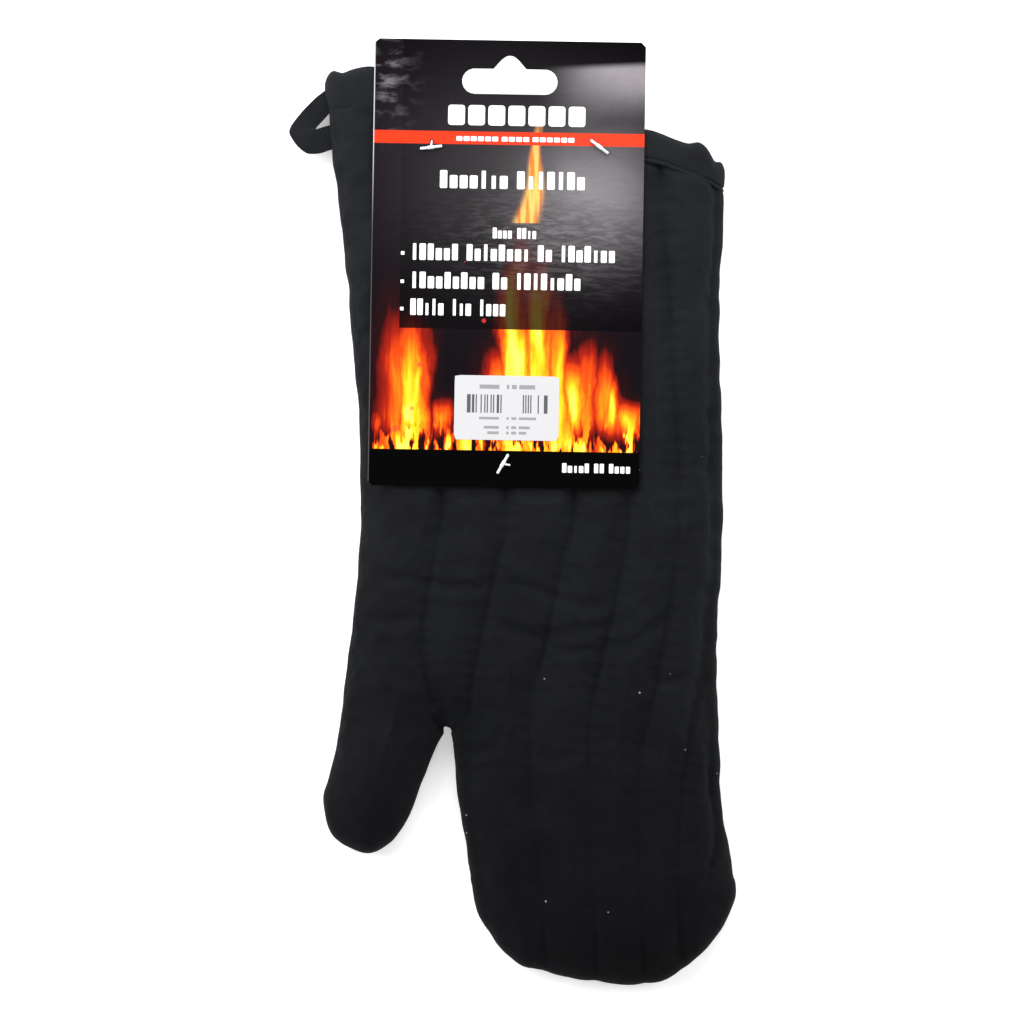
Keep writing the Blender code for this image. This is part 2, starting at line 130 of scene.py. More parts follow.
def smooth(obj):
    obj.data.polygons.foreach_set("use_smooth", [True] * len(obj.data.polygons))
    obj.data.update()


def cover(obj, *materials):
    for material in materials:
        obj.data.materials.append(material)


def applied(obj):
    """Replaces an object's mesh by what its modifiers make of it."""
    graph = bpy.context.evaluated_depsgraph_get()
    mesh = bpy.data.meshes.new_from_object(obj.evaluated_get(graph), depsgraph=graph)
    old = obj.data
    obj.modifiers.clear()
    obj.data = mesh
    mesh.name = old.name
    bpy.data.meshes.remove(old)
    return obj


def subdivided(obj, levels):
    modifier = obj.modifiers.new("subdivision", "SUBSURF")
    modifier.levels = modifier.render_levels = levels
    modifier.uv_smooth = "NONE"
    return applied(obj)


def coordinates(mesh):
    out = np.empty(len(mesh.vertices) * 3)
    mesh.vertices.foreach_get("co", out)
    return out.reshape(-1, 3)


def place_points(mesh, co):
    mesh.vertices.foreach_set("co", co.ravel())


def normals_of(mesh):
    out = np.empty(len(mesh.vertices) * 3)
    mesh.vertex_normals.foreach_get("vector", out)
    return out.reshape(-1, 3)


def weave_faces(bm, weave, rows, middle, across):
    """Faces between neighbouring rows of vertices. The weave's UVs are the length along, measured at each
    row's middle vertex, and the given length across."""
    run = [0.0]
    for a, b in zip(rows, rows[1:]):
        run.append(run[-1] + (b[middle].co - a[middle].co).length)
    for i, (a, b) in enumerate(zip(rows, rows[1:])):
        for j in range(len(a) - 1):
            face = bm.faces.new((a[j], b[j], b[j + 1], a[j + 1]))
            for loop, (k, m) in zip(face.loops, ((i, j), (i + 1, j), (i + 1, j + 1), (i, j + 1))):
                loop[weave].uv = (run[k], across[m])


def catmull(points, steps):
    """A smooth curve through 2-D or 3-D points."""
    p = np.array(points, float)
    p = np.vstack((2 * p[0] - p[1], p, 2 * p[-1] - p[-2]))
    out = []
    for i in range(1, len(p) - 2):
        for t in np.arange(steps) / steps:
            out.append(0.5 * (
                2 * p[i] + (p[i + 1] - p[i - 1]) * t
                + (2 * p[i - 1] - 5 * p[i] + 4 * p[i + 1] - p[i + 2]) * t**2
                + (3 * p[i] - p[i - 1] - 3 * p[i + 1] + p[i + 2]) * t**3
            ))
    out.append(p[-2])
    return np.array(out)


def run_of(line):
    """The distance along a polyline at each of its points."""
    return np.concatenate(([0], np.cumsum(np.linalg.norm(np.diff(line, axis=0), axis=1))))


def resampled(line, spacing):
    run = run_of(line)
    count = max(2, int(round(run[-1] / spacing)) + 1)
    at = np.linspace(0, run[-1], count)
    return np.stack([np.interp(at, run, line[:, k]) for k in range(line.shape[1])], axis=1)


def nearest(points, line):
    """For each point: its distance from a polyline, how far along, and the nearest place on it."""
    a, ab = line[:-1], np.diff(line, axis=0)
    square = (ab**2).sum(1)
    run = run_of(line)
    distance, along, place = [], [], []
    for chunk in np.array_split(points, max(1, len(points) // 3000)):
        ap = chunk[:, None] - a[None]
        t = np.clip((ap * ab).sum(2) / square, 0, 1)
        d2 = ((ap - t[..., None] * ab) ** 2).sum(2)
        i = d2.argmin(1)
        rows = np.arange(len(chunk))
        distance.append(np.sqrt(d2[rows, i]))
        along.append(run[i] + t[rows, i] * np.sqrt(square[i]))
        place.append(a[i] + t[rows, i, None] * ab[i])
    return np.concatenate(distance), np.concatenate(along), np.concatenate(place)


def inside(points, loop):
    """Whether points are inside a closed outline, by counting its crossings of a line to the right."""
    x0, y0 = loop[:, 0], loop[:, 1]
    x1, y1 = np.roll(x0, -1), np.roll(y0, -1)
    out = []
    for chunk in np.array_split(points, max(1, len(points) // 3000)):
        px, py = chunk[:, :1], chunk[:, 1:]
        spans = (y0 > py) != (y1 > py)
        with np.errstate(divide="ignore", invalid="ignore"):
            hit = px < x0 + (py - y0) * (x1 - x0) / (y1 - y0)
        out.append((spans & hit).sum(1) % 2 == 1)
    return np.concatenate(out)


def bell(distance, width):
    return np.exp(-((distance / width) ** 2))


def smoothstep(low, high, x):
    t = np.clip((x - low) / (high - low), 0, 1)
    return t * t * (3 - 2 * t)


def noise_field(points, size, seed, stretch=(1, 1, 1)):
    """Smooth noise in -1..1 at 3-D points, with features about size metres across."""
    offset = Vector((seed * 13.7, seed * 5.3, seed * 9.1))
    scaled = points / size / np.array(stretch)
    return np.array([noise.noise(Vector(p) + offset) for p in scaled])


def line_noise(along, size, seed, row=0.0):
    """Smooth noise by the distance along a line; lines with another row get another run of it."""
    return noise_field(np.stack((along, along * 0 + row, along * 0), 1), size, seed)


# ---------------- node helpers


def new_material(name):
    material = bpy.data.materials.new(name)
    material.use_nodes = True
    return material


class Nodes:
    """Short ways to add and join shader nodes. A value given as a number is set on the socket."""

    def __init__(self, material):
        self.tree = material.node_tree
        self.shader = self.tree.nodes["Principled BSDF"]

    def put(self, socket, value):
        if isinstance(value, bpy.types.NodeSocket):
            self.tree.links.new(value, socket)
        elif isinstance(value, (tuple, list)) and len(value) == 3 and socket.type == "RGBA":
            socket.default_value = (*value, 1)
        else:
            socket.default_value = value

    def node(self, kind, inputs=(), **settings):
        node = self.tree.nodes.new(kind)
        for key, value in settings.items():
            setattr(node, key, value)
        for key, value in dict(inputs).items():
            self.put(node.inputs[key], value)
        return node

    def math(self, operation, first, *others):
        """Works through the values left to right, as in a * b * c, or on the first alone."""
        for other in others or (0.0,):
            first = self.node("ShaderNodeMath", {0: first, 1: other}, operation=operation).outputs[0]
        return first

    def times(self, *values):
        return self.math("MULTIPLY", *values)

    def plus(self, *values):
        return self.math("ADD", *values)

    def minus(self, a, b):
        return self.math("SUBTRACT", a, b)

    def over(self, a, b):
        return self.math("DIVIDE", a, b)

    def bell(self, off):
        return self.math("EXPONENT", self.times(off, off, -1.0))

    def ranged(self, value, low, high, to_low=0.0, to_high=1.0, kind="SMOOTHSTEP"):
        inputs = {"Value": value, "From Min": low, "From Max": high, "To Min": to_low, "To Max": to_high}
        return self.node("ShaderNodeMapRange", inputs, interpolation_type=kind).outputs["Result"]

    def linear(self, *values):
        return self.ranged(*values, kind="LINEAR")

    def mix(self, factor, a, b, blend="MIX"):
        node = self.node("ShaderNodeMix", data_type="RGBA", blend_type=blend)
        for socket, value in ((node.inputs[0], factor), (node.inputs[6], a), (node.inputs[7], b)):
            self.put(socket, value)
        return node.outputs[2]

    def noise(self, vector, scale, detail=2.0, roughness=0.5, distortion=0.0):
        inputs = {"Vector": vector, "Scale": scale, "Detail": detail, "Roughness": roughness}
        inputs["Distortion"] = distortion
        return self.node("ShaderNodeTexNoise", inputs).outputs["Fac"]

    def ramp(self, factor, stops):
        node = self.node("ShaderNodeValToRGB", {"Fac": factor})
        elements = node.color_ramp.elements
        elements[0].position, elements[0].color = stops[0][0], (*stops[0][1], 1)
        elements[1].position, elements[1].color = stops[-1][0], (*stops[-1][1], 1)
        for position, colour in stops[1:-1]:
            elements.new(position).color = (*colour, 1)
        return node.outputs["Color"]

    def bump(self, height, distance, strength):
        inputs = {"Height": height, "Distance": distance, "Strength": strength}
        return self.node("ShaderNodeBump", inputs).outputs["Normal"]

    def set(self, **values):
        for key, value in values.items():
            self.put(self.shader.inputs[key.replace("_", " ")], value)


def cloth_material(name, colour, thread, worn=0.35, lint=True):
    """Woven cotton: threads over and under each other, uneven dye, soft fuzz and faint pilling, with painted
    shade that makes it lighter at the cuff end and darker towards the fingertips.
    """
    material = new_material(name)
    n = Nodes(material)
    uv = n.node("ShaderNodeUVMap", uv_map="weave").outputs["UV"]
    solid = n.node("ShaderNodeTexCoord").outputs["Object"]
    split = n.node("ShaderNodeSeparateXYZ", {0: uv})
    turn = 2 * math.pi / thread
    slub = n.times(n.noise(uv, 0.35 / thread, 2.0), 2.4)
    warp, weft = (n.math("SINE", n.plus(n.times(split.outputs[k], turn), slub)) for k in (0, 1))
    over = n.times(warp, weft)
    ribs = n.plus(n.math("ABSOLUTE", warp), n.math("ABSOLUTE", weft))
    weave = n.plus(n.times(over, 0.5), n.times(ribs, 0.35))
    fuzz = n.noise(solid, 2600.0, 3.0, 0.7)
    uneven = n.noise(solid, 38.0, 3.0, 0.6)
    tone = n.linear(uneven, 0.3, 0.72, 0.84, 1.22)
    shade = n.linear(weave, -0.4, 0.9, 0.62, 1.22)
    fleck = n.linear(fuzz, 0.42, 0.8, 0.9, 1.5)
    level = n.times(tone, shade, fleck)
    # Painted shade: the cloth's colour runs from 1.7 times as light at the cuff end to 0.43 times at the
    # fingertips, standing in for the fall-off of the head light.
    along = n.node("ShaderNodeSeparateXYZ", {0: solid}).outputs[1]
    level = n.times(level, n.linear(along, -0.19, 0.19, 0.43, 1.70))
    grey = n.node("ShaderNodeCombineColor", {0: level, 1: level, 2: level}).outputs[0]
    dye = n.mix(1.0, colour, grey, "MULTIPLY")
    edge = n.node("ShaderNodeNewGeometry").outputs["Pointiness"]
    rubbed = n.ranged(edge, 0.505, 0.56, 0.0, worn)
    pale = tuple(min(1.0, 2.3 * c + 0.006) for c in colour)
    dye = n.mix(rubbed, dye, pale)
    if lint:
        cell = n.node("ShaderNodeTexVoronoi", {"Vector": solid, "Scale": 150.0, "Randomness": 1.0})
        spot = n.linear(cell.outputs["Distance"], 0.04, 0.075, 1.0, 0.0)
        pick = n.node("ShaderNodeSeparateColor", {0: cell.outputs["Color"]}).outputs[0]
        spot = n.times(spot, n.math("GREATER_THAN", pick, 0.90))
        dye = n.mix(spot, dye, (0.30, 0.30, 0.30))
    height = n.plus(weave, n.times(fuzz, 0.9))
    normal = n.bump(height, thread * 0.32, 0.75)
    n.set(Base_Color=dye, Normal=normal, Roughness=0.95, Specular_IOR_Level=0.045)
    n.set(Sheen_Weight=0.035, Sheen_Roughness=0.4, Sheen_Tint=(0.62, 0.68, 0.75))
    return material


def plain_material(name, colour, roughness, **settings):
    material = new_material(name)
    n = Nodes(material)
    solid = n.node("ShaderNodeTexCoord").outputs["Object"]
    uneven = n.noise(solid, 420.0, 3.0, 0.6)
    dark = tuple(c * 0.86 for c in colour)
    n.set(Base_Color=n.mix(uneven, dark, colour), Roughness=roughness)
    n.set(Normal=n.bump(uneven, 0.05 * MM, 0.4))
    n.set(**settings)
    return material


# ---------------- the mitt's form

# The outline from above, as the CAD model has it, from the cuff's left corner round to its right.
OUTLINE = catmull(np.array((
    (-86, 197), (-84.4, 166), (-79.8, 122), (-74.8, 76), (-72.2, 24), (-72.9, -20),
    (-77.4, -54), (-81.4, -88.4), (-85, -105), (-87.6, -118), (-83, -132), (-68.5, -138.9),
    (-55.5, -129.5), (-47, -112), (-38.4, -88.4), (-35.2, -86.6), (-32.2, -88.4), (-31, -112),
    (-26, -142), (-19.4, -168), (-4, -185.5), (26, -193.6), (55, -193.4), (75, -179),
    (86.2, -160), (85.6, -142), (81, -117), (79.4, -88.4), (79, -56), (81.6, -6),
    (81.2, 48), (80.2, 96), (82, 134), (83.6, 164),
)) * MM, 12)
FINGER_ROOT_Y = -88.0 * MM
NOTCH = np.array((-35.2, -86.6)) * MM

# The cuff's edge from above, left to right.
CUFF = catmull(np.array((
    (-90, 190.6), (-87.2, 191.8), (-84.2, 193.9), (-79.6, 192.7), (-75.6, 193.9), (-67, 195.2),
    (-58, 191.8), (-40, 186), (-24, 182.4), (0, 178.4), (25, 173.4), (49, 168.6), (59, 165.3),
    (66.5, 162.6), (71.8, 163.4), (75.6, 160.6), (78.4, 155.3), (81.2, 155.5), (83.4, 154), (86, 149.5),
    (90, 148),
)) * MM, 8)

# Quilting lines on both panels, from the cuff down.
QUILTING = [catmull(np.array(points) * MM, 10) for points in (
    ((-62, 205), (-58, 150), (-52, 90), (-44, 45), (-37.1, 12), (-41, -16),
     (-45.2, -42), (-44.5, -62), (-38.5, -84)),
    ((-30, 205), (-24, 130), (-16, 60), (-9.8, 5.5), (-14.6, -18), (-20, -44),
     (-25.6, -72), (-27, -100), (-21, -150), (-10, -200)),
    ((-2, 200), (4, 130), (12, 60), (19, 12), (12.6, -20), (7, -48),
     (0.6, -76), (0.4, -110), (4.5, -150), (7, -200)),
    ((26, 195), (32, 130), (39, 60), (41.8, 4), (36.6, -30), (29.4, -62),
     (25.4, -88), (26.2, -130), (28.4, -200)),
    ((53, 190), (57, 130), (62, 60), (63.6, 4), (59.6, -36), (53.4, -70),
     (46.8, -100), (46.6, -140), (49, -200)),
    ((77.5, -30), (74, -62), (67, -100), (63, -140), (65, -200)),
)]

# The side seam where it shows on the front: along the right, ending in a tuck at the little finger.
RIGHT_SEAM = catmull(np.array((
    (79.6, 160), (79, 130), (77.2, 96), (77.4, 48), (78, -6), (75.6, -56), (76.2, -92),
    (78.4, -118), (79.6, -134), (77.2, -144), (74.8, -153),
)) * MM, 10)
LEFT_SEAM = catmull(np.array((
    (-82.6, 196), (-81.4, 166), (-77.6, 134), (-76, 118),
)) * MM, 10)

# Soft creases across the palm: start, middle and end from above, depth, half width.
CREASES = [(catmull(np.array(points) * MM, 8), depth * MM, width * MM) for points, depth, width in (
    (((-69, -38), (-57, -40), (-44, -37)), 1, 2.6),
    (((-54, -22), (-38, -25), (-24, -26), (-12, -24.5)), 0.95, 2.3),
    (((-12, -24.5), (-2, -25), (15, -31.5), (33, -35)), 0.85, 2.2),
    (((-20, -40), (2, -45.7), (28, -43.5), (46, -37.5)), 1.15, 2.5),
    (((-6, -46), (15, -52.5), (33, -50.5), (47, -53)), 0.8, 2.8),
    (((36, -52), (48, -46), (62, -36)), 0.8, 3),
    (((50, -60), (57, -66), (68, -63)), 0.7, 2.2),
    (((-31, -93), (-25, -95.5), (-15, -94)), 1.1, 2.2),
    (((-60, -58), (-52, -64), (-43, -66)), 0.9, 2.6),
    (((-66, -18), (-58, -22), (-47, -20)), 0.7, 2.2),
    (((2, -96), (10, -99), (20, -97)), 0.5, 2.4),
    (((52, 8), (60, 5), (72, 9)), 0.6, 2.4),
)]

# Two corners above the cuff, which close the outline where the mitt is open.
ABOVE_CUFF = ((0.09, 0.3), (-0.09, 0.3))
SEAM_Z, TOP_Z = 7.0 * MM, 26.0 * MM
FRONT_REACH, BACK_REACH = 28.0 * MM, 10.0 * MM
WALL = 6.4 * MM
# Rows of points on and beside a quilting line, in mm from it.
LINE_ROWS = (0, -0.9, 0.9, -2.2, 2.2)
CARD_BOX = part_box("header_card")
FABRIC_UNDER_CARD = CARD_BOX[0][2] - 0.25 * MM


def dome(reach):
    return np.sqrt(1 - (1 - np.clip(reach, 0, 1)) ** 2)


def cuff_y(x):
    return np.interp(x, CUFF[:, 0], CUFF[:, 1])


def side_line(below_cuff):
    """The outline between its crossings of a line below_cuff from the cuff's edge."""
    dense = resampled(OUTLINE, 1.0 * MM)
    inside = dense[:, 1] < cuff_y(dense[:, 0]) - below_cuff
    first, last = np.flatnonzero(inside)[[0, -1]]
    return dense[first:last + 1]


def form_height(front, distance, inset):
    full = (TOP_Z - SEAM_Z if front else SEAM_Z) - inset
    reach = (FRONT_REACH if front else BACK_REACH) - inset
    return full * dome((distance - inset) / reach)


def panel(front, inset, pitch, edge, inward, sides, below_cuff, lines):
    """A panel of the mitt as flat points, triangles and heights over the seam. Rows of points follow the
    edge, where the panel is steep, and the quilting lines. edge is shared with the other panel."""
    reach = (FRONT_REACH if front else BACK_REACH) - inset
    angles = np.radians(np.arange(6.0, 46.0, 6.5) if front else np.arange(15.0, 61.0, 15.0))
    depths = reach * (1 - np.cos(angles))
    left, right = edge[0][0], edge[-1][0]
    inner = np.arange(left + depths[-1] + pitch, right - depths[-1] - pitch / 2, pitch)
    mouth_x = np.concatenate((left + depths, inner, right - depths[::-1]))[::-1]
    mouth = np.stack((mouth_x, cuff_y(mouth_x) - below_cuff), axis=1)
    border = np.vstack((edge, mouth))

    ground = np.vstack((sides, ABOVE_CUFF))

    def open_ground(points, margin, clear=0.5):
        away = nearest(points, sides)[0]
        below = points[:, 1] < cuff_y(points[:, 0]) - below_cuff - clear * pitch
        return points[(away > margin) & below & inside(points, ground)]

    groups = [border]
    for depth in depths:
        ring = open_ground(edge + inward * depth, (depth + inset) * 0.985, 0.4)
        kept = []
        for p in ring:
            if not kept or np.linalg.norm(p - kept[-1]) > 0.45 * pitch:
                kept.append(p)
        groups.append(np.array(kept))
    margin = depths[-1] + inset + 0.55 * pitch
    for line in lines:
        line = resampled(line, pitch * 0.8)
        along = np.gradient(line, axis=0)
        along /= np.linalg.norm(along, axis=1)[:, None]
        across = np.stack((-along[:, 1], along[:, 0]), axis=1)
        groups += [open_ground(line + across * (o * MM), margin) for o in LINE_ROWS]
    lattice = np.array([
        (x + (pitch / 2 if i % 2 else 0), y)
        for i, y in enumerate(np.arange(-0.2, 0.2, pitch * 0.87)) for x in np.arange(-0.1, 0.1, pitch)
    ])
    lattice = open_ground(lattice, margin)
    for line in lines:
        lattice = lattice[nearest(lattice, line)[0] > LINE_ROWS[-1] * MM + 0.5 * pitch]
    groups.append(lattice)

    count = len(border)
    edges = [(i, (i + 1) % count) for i in range(count)]
    everything = np.vstack([g for g in groups if len(g)]) / MM
    points, _, triangles, _, _, _ = delaunay_2d_cdt([Vector(p) for p in everything], edges, [], 1, 1e-4)
    points = np.array([tuple(p) for p in points]) * MM
    height = form_height(front, np.maximum(nearest(points, sides)[0], inset), inset)
    return points, [tuple(t) for t in triangles], height


def bag(name, inset, pitch, below_cuff, lines):
    """Both panels joined at the side seam and open at the mouth, with UVs for the weave."""
    sides = side_line(below_cuff)
    edge = resampled(sides, pitch * 0.85)
    tangent = np.gradient(edge, axis=0)
    tangent /= np.linalg.norm(tangent, axis=1)[:, None]
    inward = np.stack((-tangent[:, 1], tangent[:, 0]), axis=1)
    edge = edge + inward * inset
    bm = bmesh.new()
    weave = bm.loops.layers.uv.new("weave")
    for front in (True, False):
        size = pitch if front else pitch * 1.3
        points, triangles, height = panel(front, inset, size, edge, inward, sides, below_cuff, lines)
        away, _, place = nearest(points, sides)
        outward = place - points
        outward /= np.maximum(np.linalg.norm(outward, axis=1), 1e-9)[:, None]
        uv = points + outward * rolled_length(front, away)[:, None]
        verts = [bm.verts.new((*p, SEAM_Z + (h if front else -h))) for p, h in zip(points, height)]
        for t in triangles:
            order = t if front else t[::-1]
            face = bm.faces.new([verts[i] for i in order])
            for loop, i in zip(face.loops, order):
                loop[weave].uv = uv[i]
    bmesh.ops.remove_doubles(bm, verts=bm.verts, dist=0.02 * MM)
    return add_mesh(name, bm)


def rolled_length(front, away):
    """How much longer the way up the side is than it looks from above, from a distance inward on."""
    reach, rise = (FRONT_REACH, TOP_Z - SEAM_Z) if front else (BACK_REACH, SEAM_Z)
    at = np.linspace(0, 1, 200) ** 2 * reach
    climb = rise * dome(at / reach)
    extra = np.concatenate(([0], np.cumsum(np.hypot(np.diff(at), np.diff(climb)) - np.diff(at))))
    return extra[-1] - np.interp(away, at, extra)


# ---------------- quilting, creases and seams


def quilt(obj):
    """Presses the quilting, seams and creases into the shells, and lets the padding stand between them."""
    mesh = obj.data
    co, normal = coordinates(mesh), normals_of(mesh)
    flat = co[:, :2]
    front = co[:, 2] > SEAM_Z + 0.01 * MM
    away, along_edge, _ = nearest(flat, resampled(OUTLINE, 2.0 * MM))
    move = np.zeros(len(co))

    line_distance = np.full(len(co), 1.0)
    for number, line in enumerate(QUILTING):
        e, s, _ = nearest(flat, line)
        line_distance = np.minimum(line_distance, e)
        sewn = 0.22 + 0.78 * smoothstep(0, 11 * MM, away)
        sewn *= 0.72 + 0.28 * smoothstep(-125 * MM, -70 * MM, flat[:, 1])
        sewn *= 0.9 + 0.35 * line_noise(s, 31 * MM, 60 + number, number * MM)
        depth = 1.9 * bell(e, 1.5 * MM) + 2.0 * bell(e, 4.8 * MM)
        phase = line_noise(s, 9 * MM, number, number)
        ripple = np.sin(s / (5.4 * MM) * 2 * math.pi + 4.0 * phase + (e / (9 * MM)))
        pucker = 0.34 * ripple * bell(e - 2.2 * MM, 3.6 * MM) * (0.6 + 0.8 * phase)
        move -= (depth - pucker) * sewn * MM
    move += 0.8 * MM * smoothstep(4 * MM, 13 * MM, line_distance) * smoothstep(4 * MM, 16 * MM, away)

    for line, depth, width in CREASES:
        e, s, _ = nearest(flat, line)
        length = run_of(line)[-1]
        taper = np.sin(np.clip(s / length, 0, 1) * math.pi) ** 0.6
        shape = bell(e, width) - 0.35 * bell(e - 2.2 * width, width)
        move -= np.where(front, 1.25 * depth * taper * shape, 0)

    hidden = smoothstep(-150 * MM, -140 * MM, co[:, 1]) * smoothstep(40 * MM, 60 * MM, co[:, 0])
    pinch = 0.35 * bell(away, 1.0 * MM) * (1 - 0.85 * hidden)
    pinch -= (0.35 + 0.4 * (co[:, 0] < 0) + 0.5 * (co[:, 1] < -150 * MM)) * bell(away, 5 * MM)
    scallop = line_noise(along_edge, 9.5 * MM, 31)
    move -= pinch * MM
    move += 0.55 * MM * scallop * np.exp(-away / (6 * MM))
    move += 1.9 * MM * bell(np.linalg.norm(flat - NOTCH, axis=1), 6 * MM)

    for line, depth, fade in ((RIGHT_SEAM, 1.9, 6 * MM), (LEFT_SEAM, 0.8, 20 * MM)):
        e, s, place = nearest(flat, line)
        length = run_of(line)[-1]
        ends = smoothstep(0, fade, length - s)
        outside = (np.abs(flat[:, 0]) > np.abs(place[:, 0])).astype(float)
        ruck = line_noise(s, 6.5 * MM, 47)
        groove = depth * bell(e, 0.85 * MM) + 0.5 * depth * bell(e, 2.6 * MM)
        groove *= 0.85 + 0.5 * ruck
        bulge = 0.55 * outside * bell(e - 2.4 * MM, 1.8 * MM) * (1 + ruck)
        move -= np.where(front, (groove - bulge) * ends * MM, 0)

    move += 0.9 * MM * noise_field(co, 34 * MM, 3)
    move += 0.34 * MM * noise_field(co, 11 * MM, 5, (1.0, 1.0, 2.0))
    move += 0.16 * MM * noise_field(co, 4.6 * MM, 8)
    depth_in = cuff_y(flat[:, 0]) - flat[:, 1]
    move -= 0.75 * MM * (1 - smoothstep(12.4 * MM, 15.2 * MM, depth_in))
    co += normal * move[:, None]
    settle(co)
    place_points(mesh, co)
    mesh.update()
    stitched = obj.vertex_groups.new(name="stitched")
    held = (line_distance < 0.75 * MM) | (away < 0.8 * MM) | (depth_in < 15.5 * MM)
    held |= nearest(flat, RIGHT_SEAM)[0] < 0.8 * MM
    stitched.add([int(i) for i in np.flatnonzero(held)], 1.0, "REPLACE")


SWELL_FRAMES, SWELL_CAP = 14, 1.2 * MM


def swell(obj, frames, cap):
    """Lets the padding push the cloth out between its stitches, by cloth simulation, for a short while."""
    before = coordinates(obj.data)
    modifier = obj.modifiers.new("cotton", "CLOTH")
    cloth, wall = modifier.settings, modifier.collision_settings
    cloth.quality = 4
    cloth.mass = 0.15
    cloth.tension_stiffness = cloth.compression_stiffness = 10
    cloth.shear_stiffness = 4
    cloth.bending_stiffness = 1.5
    cloth.air_damping = 2
    cloth.shrink_min = cloth.shrink_max = -0.016
    cloth.vertex_group_mass = "stitched"
    cloth.use_pressure = True
    cloth.uniform_pressure_force = 4
    cloth.effector_weights.gravity = 0
    wall.use_collision = wall.use_self_collision = False
    modifier.point_cache.frame_start, modifier.point_cache.frame_end = 1, frames
    for number in range(1, frames + 1):
        bpy.context.scene.frame_set(number)
    applied(obj)
    bpy.context.scene.frame_set(1)
    co = coordinates(obj.data)
    moved = co - before
    moved *= (0.4 + 0.6 * smoothstep(-130 * MM, -85 * MM, before[:, 1]))[:, None]
    length = np.linalg.norm(moved, axis=1)[:, None]
    co = before + moved * (cap * np.tanh(length / cap) / np.maximum(length, 1e-9))
    settle(co)
    place_points(obj.data, co)
    obj.data.update()


def settle(co):
    """Keeps fabric on the table's side and under the card, easing into both."""
    low = 0.9 * MM
    z = co[:, 2]
    z[:] = np.where(z < low, low * np.exp((z - low) / low), z)
    lid = FABRIC_UNDER_CARD
    (left, bottom, _), (right, _, _) = CARD_BOX
    beside = 4 * MM
    under = (co[:, 0] > left - beside) & (co[:, 0] < right + beside) & (co[:, 1] > bottom - beside)
    ease = 0.5 * MM
    z[:] = np.where(under & (z > lid - ease), lid - ease * np.exp(-(z - lid + ease) / ease), z)


def split_thumb(obj, name, thumb_name):
    """Parts the thumb from the rest along faces just above its root, with the whole's normals on both."""
    mesh = obj.data
    normals = normals_of(mesh)
    keep_normals = mesh.attributes.new("whole_normal", "FLOAT_VECTOR", "POINT")
    keep_normals.data.foreach_set("vector", normals.ravel())
    made = []
    for part, thumb in ((name, False), (thumb_name, True)):
        bm = bmesh.new()
        bm.from_mesh(mesh)
        out = []
        for face in bm.faces:
            centre = face.calc_center_median()
            in_thumb = centre.y < FINGER_ROOT_Y + 1.3 * MM and centre.x < NOTCH[0]
            if in_thumb != thumb:
                out.append(face)
        bmesh.ops.delete(bm, geom=out, context="FACES")
        piece = add_mesh(part, bm)
        smooth(piece)
        stored = np.empty(len(piece.data.vertices) * 3)
        piece.data.attributes["whole_normal"].data.foreach_get("vector", stored)
        piece.data.attributes.remove(piece.data.attributes["whole_normal"])
        piece.data.normals_split_custom_set_from_vertices(stored.reshape(-1, 3))
        made.append(piece)
    bpy.data.objects.remove(obj)
    return made


def bend_with_joints(main, thumb):
    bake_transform(main)
    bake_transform(thumb)


def make_shells():
    cotton = cloth_material("black_quilted_cotton", (0.0072, 0.0076, 0.0088), 0.62 * MM)
    whole = bag("shell_whole", 0.0, 2.1 * MM, 6.0 * MM, QUILTING)
    quilt(whole)
    swell(whole, SWELL_FRAMES, SWELL_CAP)
    smooth(whole)
    subdivided(whole, 1)
    smooth(whole)
    main, thumb = split_thumb(whole, "quilted_shell", "quilted_shell_thumb")
    for piece in (main, thumb):
        cover(piece, cotton)
    walls = [f"{side}_{layer}" for side in ("front", "back") for layer in ("shell", "batting")]
    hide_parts(*[f"{w}_{b}" for w in walls for b in ("gauntlet", "fingers")])
    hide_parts(*[f"{w}_thumb" for w in walls])
    bend_with_joints(main, thumb)


def make_linings():
    dark = (0.0095, 0.0098, 0.0108)
    cotton = cloth_material("lining_cotton_weave", dark, 0.8 * MM, worn=0.1, lint=False)
    whole = bag("lining_whole", WALL, 4.5 * MM, 8.0 * MM, [])
    mesh = whole.data
    co = coordinates(mesh)
    co += normals_of(mesh) * (0.5 * MM * noise_field(co, 16 * MM, 12))[:, None]
    place_points(mesh, co)
    smooth(whole)
    subdivided(whole, 1)
    main, thumb = split_thumb(whole, "lining", "lining_thumb")
    for piece in (main, thumb):
        cover(piece, cotton)
    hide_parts(*[f"{s}_lining_{b}" for s in ("front", "back") for b in ("gauntlet", "fingers")])
    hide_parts(*[f"seam_allowance_{p}" for p in ("left", "right", "notch", "fingers")])
    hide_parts("front_lining_thumb", "back_lining_thumb", "seam_allowance_thumb")
    bend_with_joints(main, thumb)


# ---------------- cuff hem

LEFT_BRANCH = OUTLINE[: len(OUTLINE) // 4][::-1]
RIGHT_BRANCH = OUTLINE[-len(OUTLINE) // 5:]
LEFT_CORNER_Y, RIGHT_CORNER_Y = 192.2 * MM, 153.2 * MM
# Where the hem's lower edge would meet the cuff's edge if it had no humps.
HEM_LEVEL = np.array((
    (-90, 190.2), (-60, 188.8), (-24, 182.4), (25, 174.0), (58, 166.6), (77, 159.0), (90, 151.5),
)) * MM


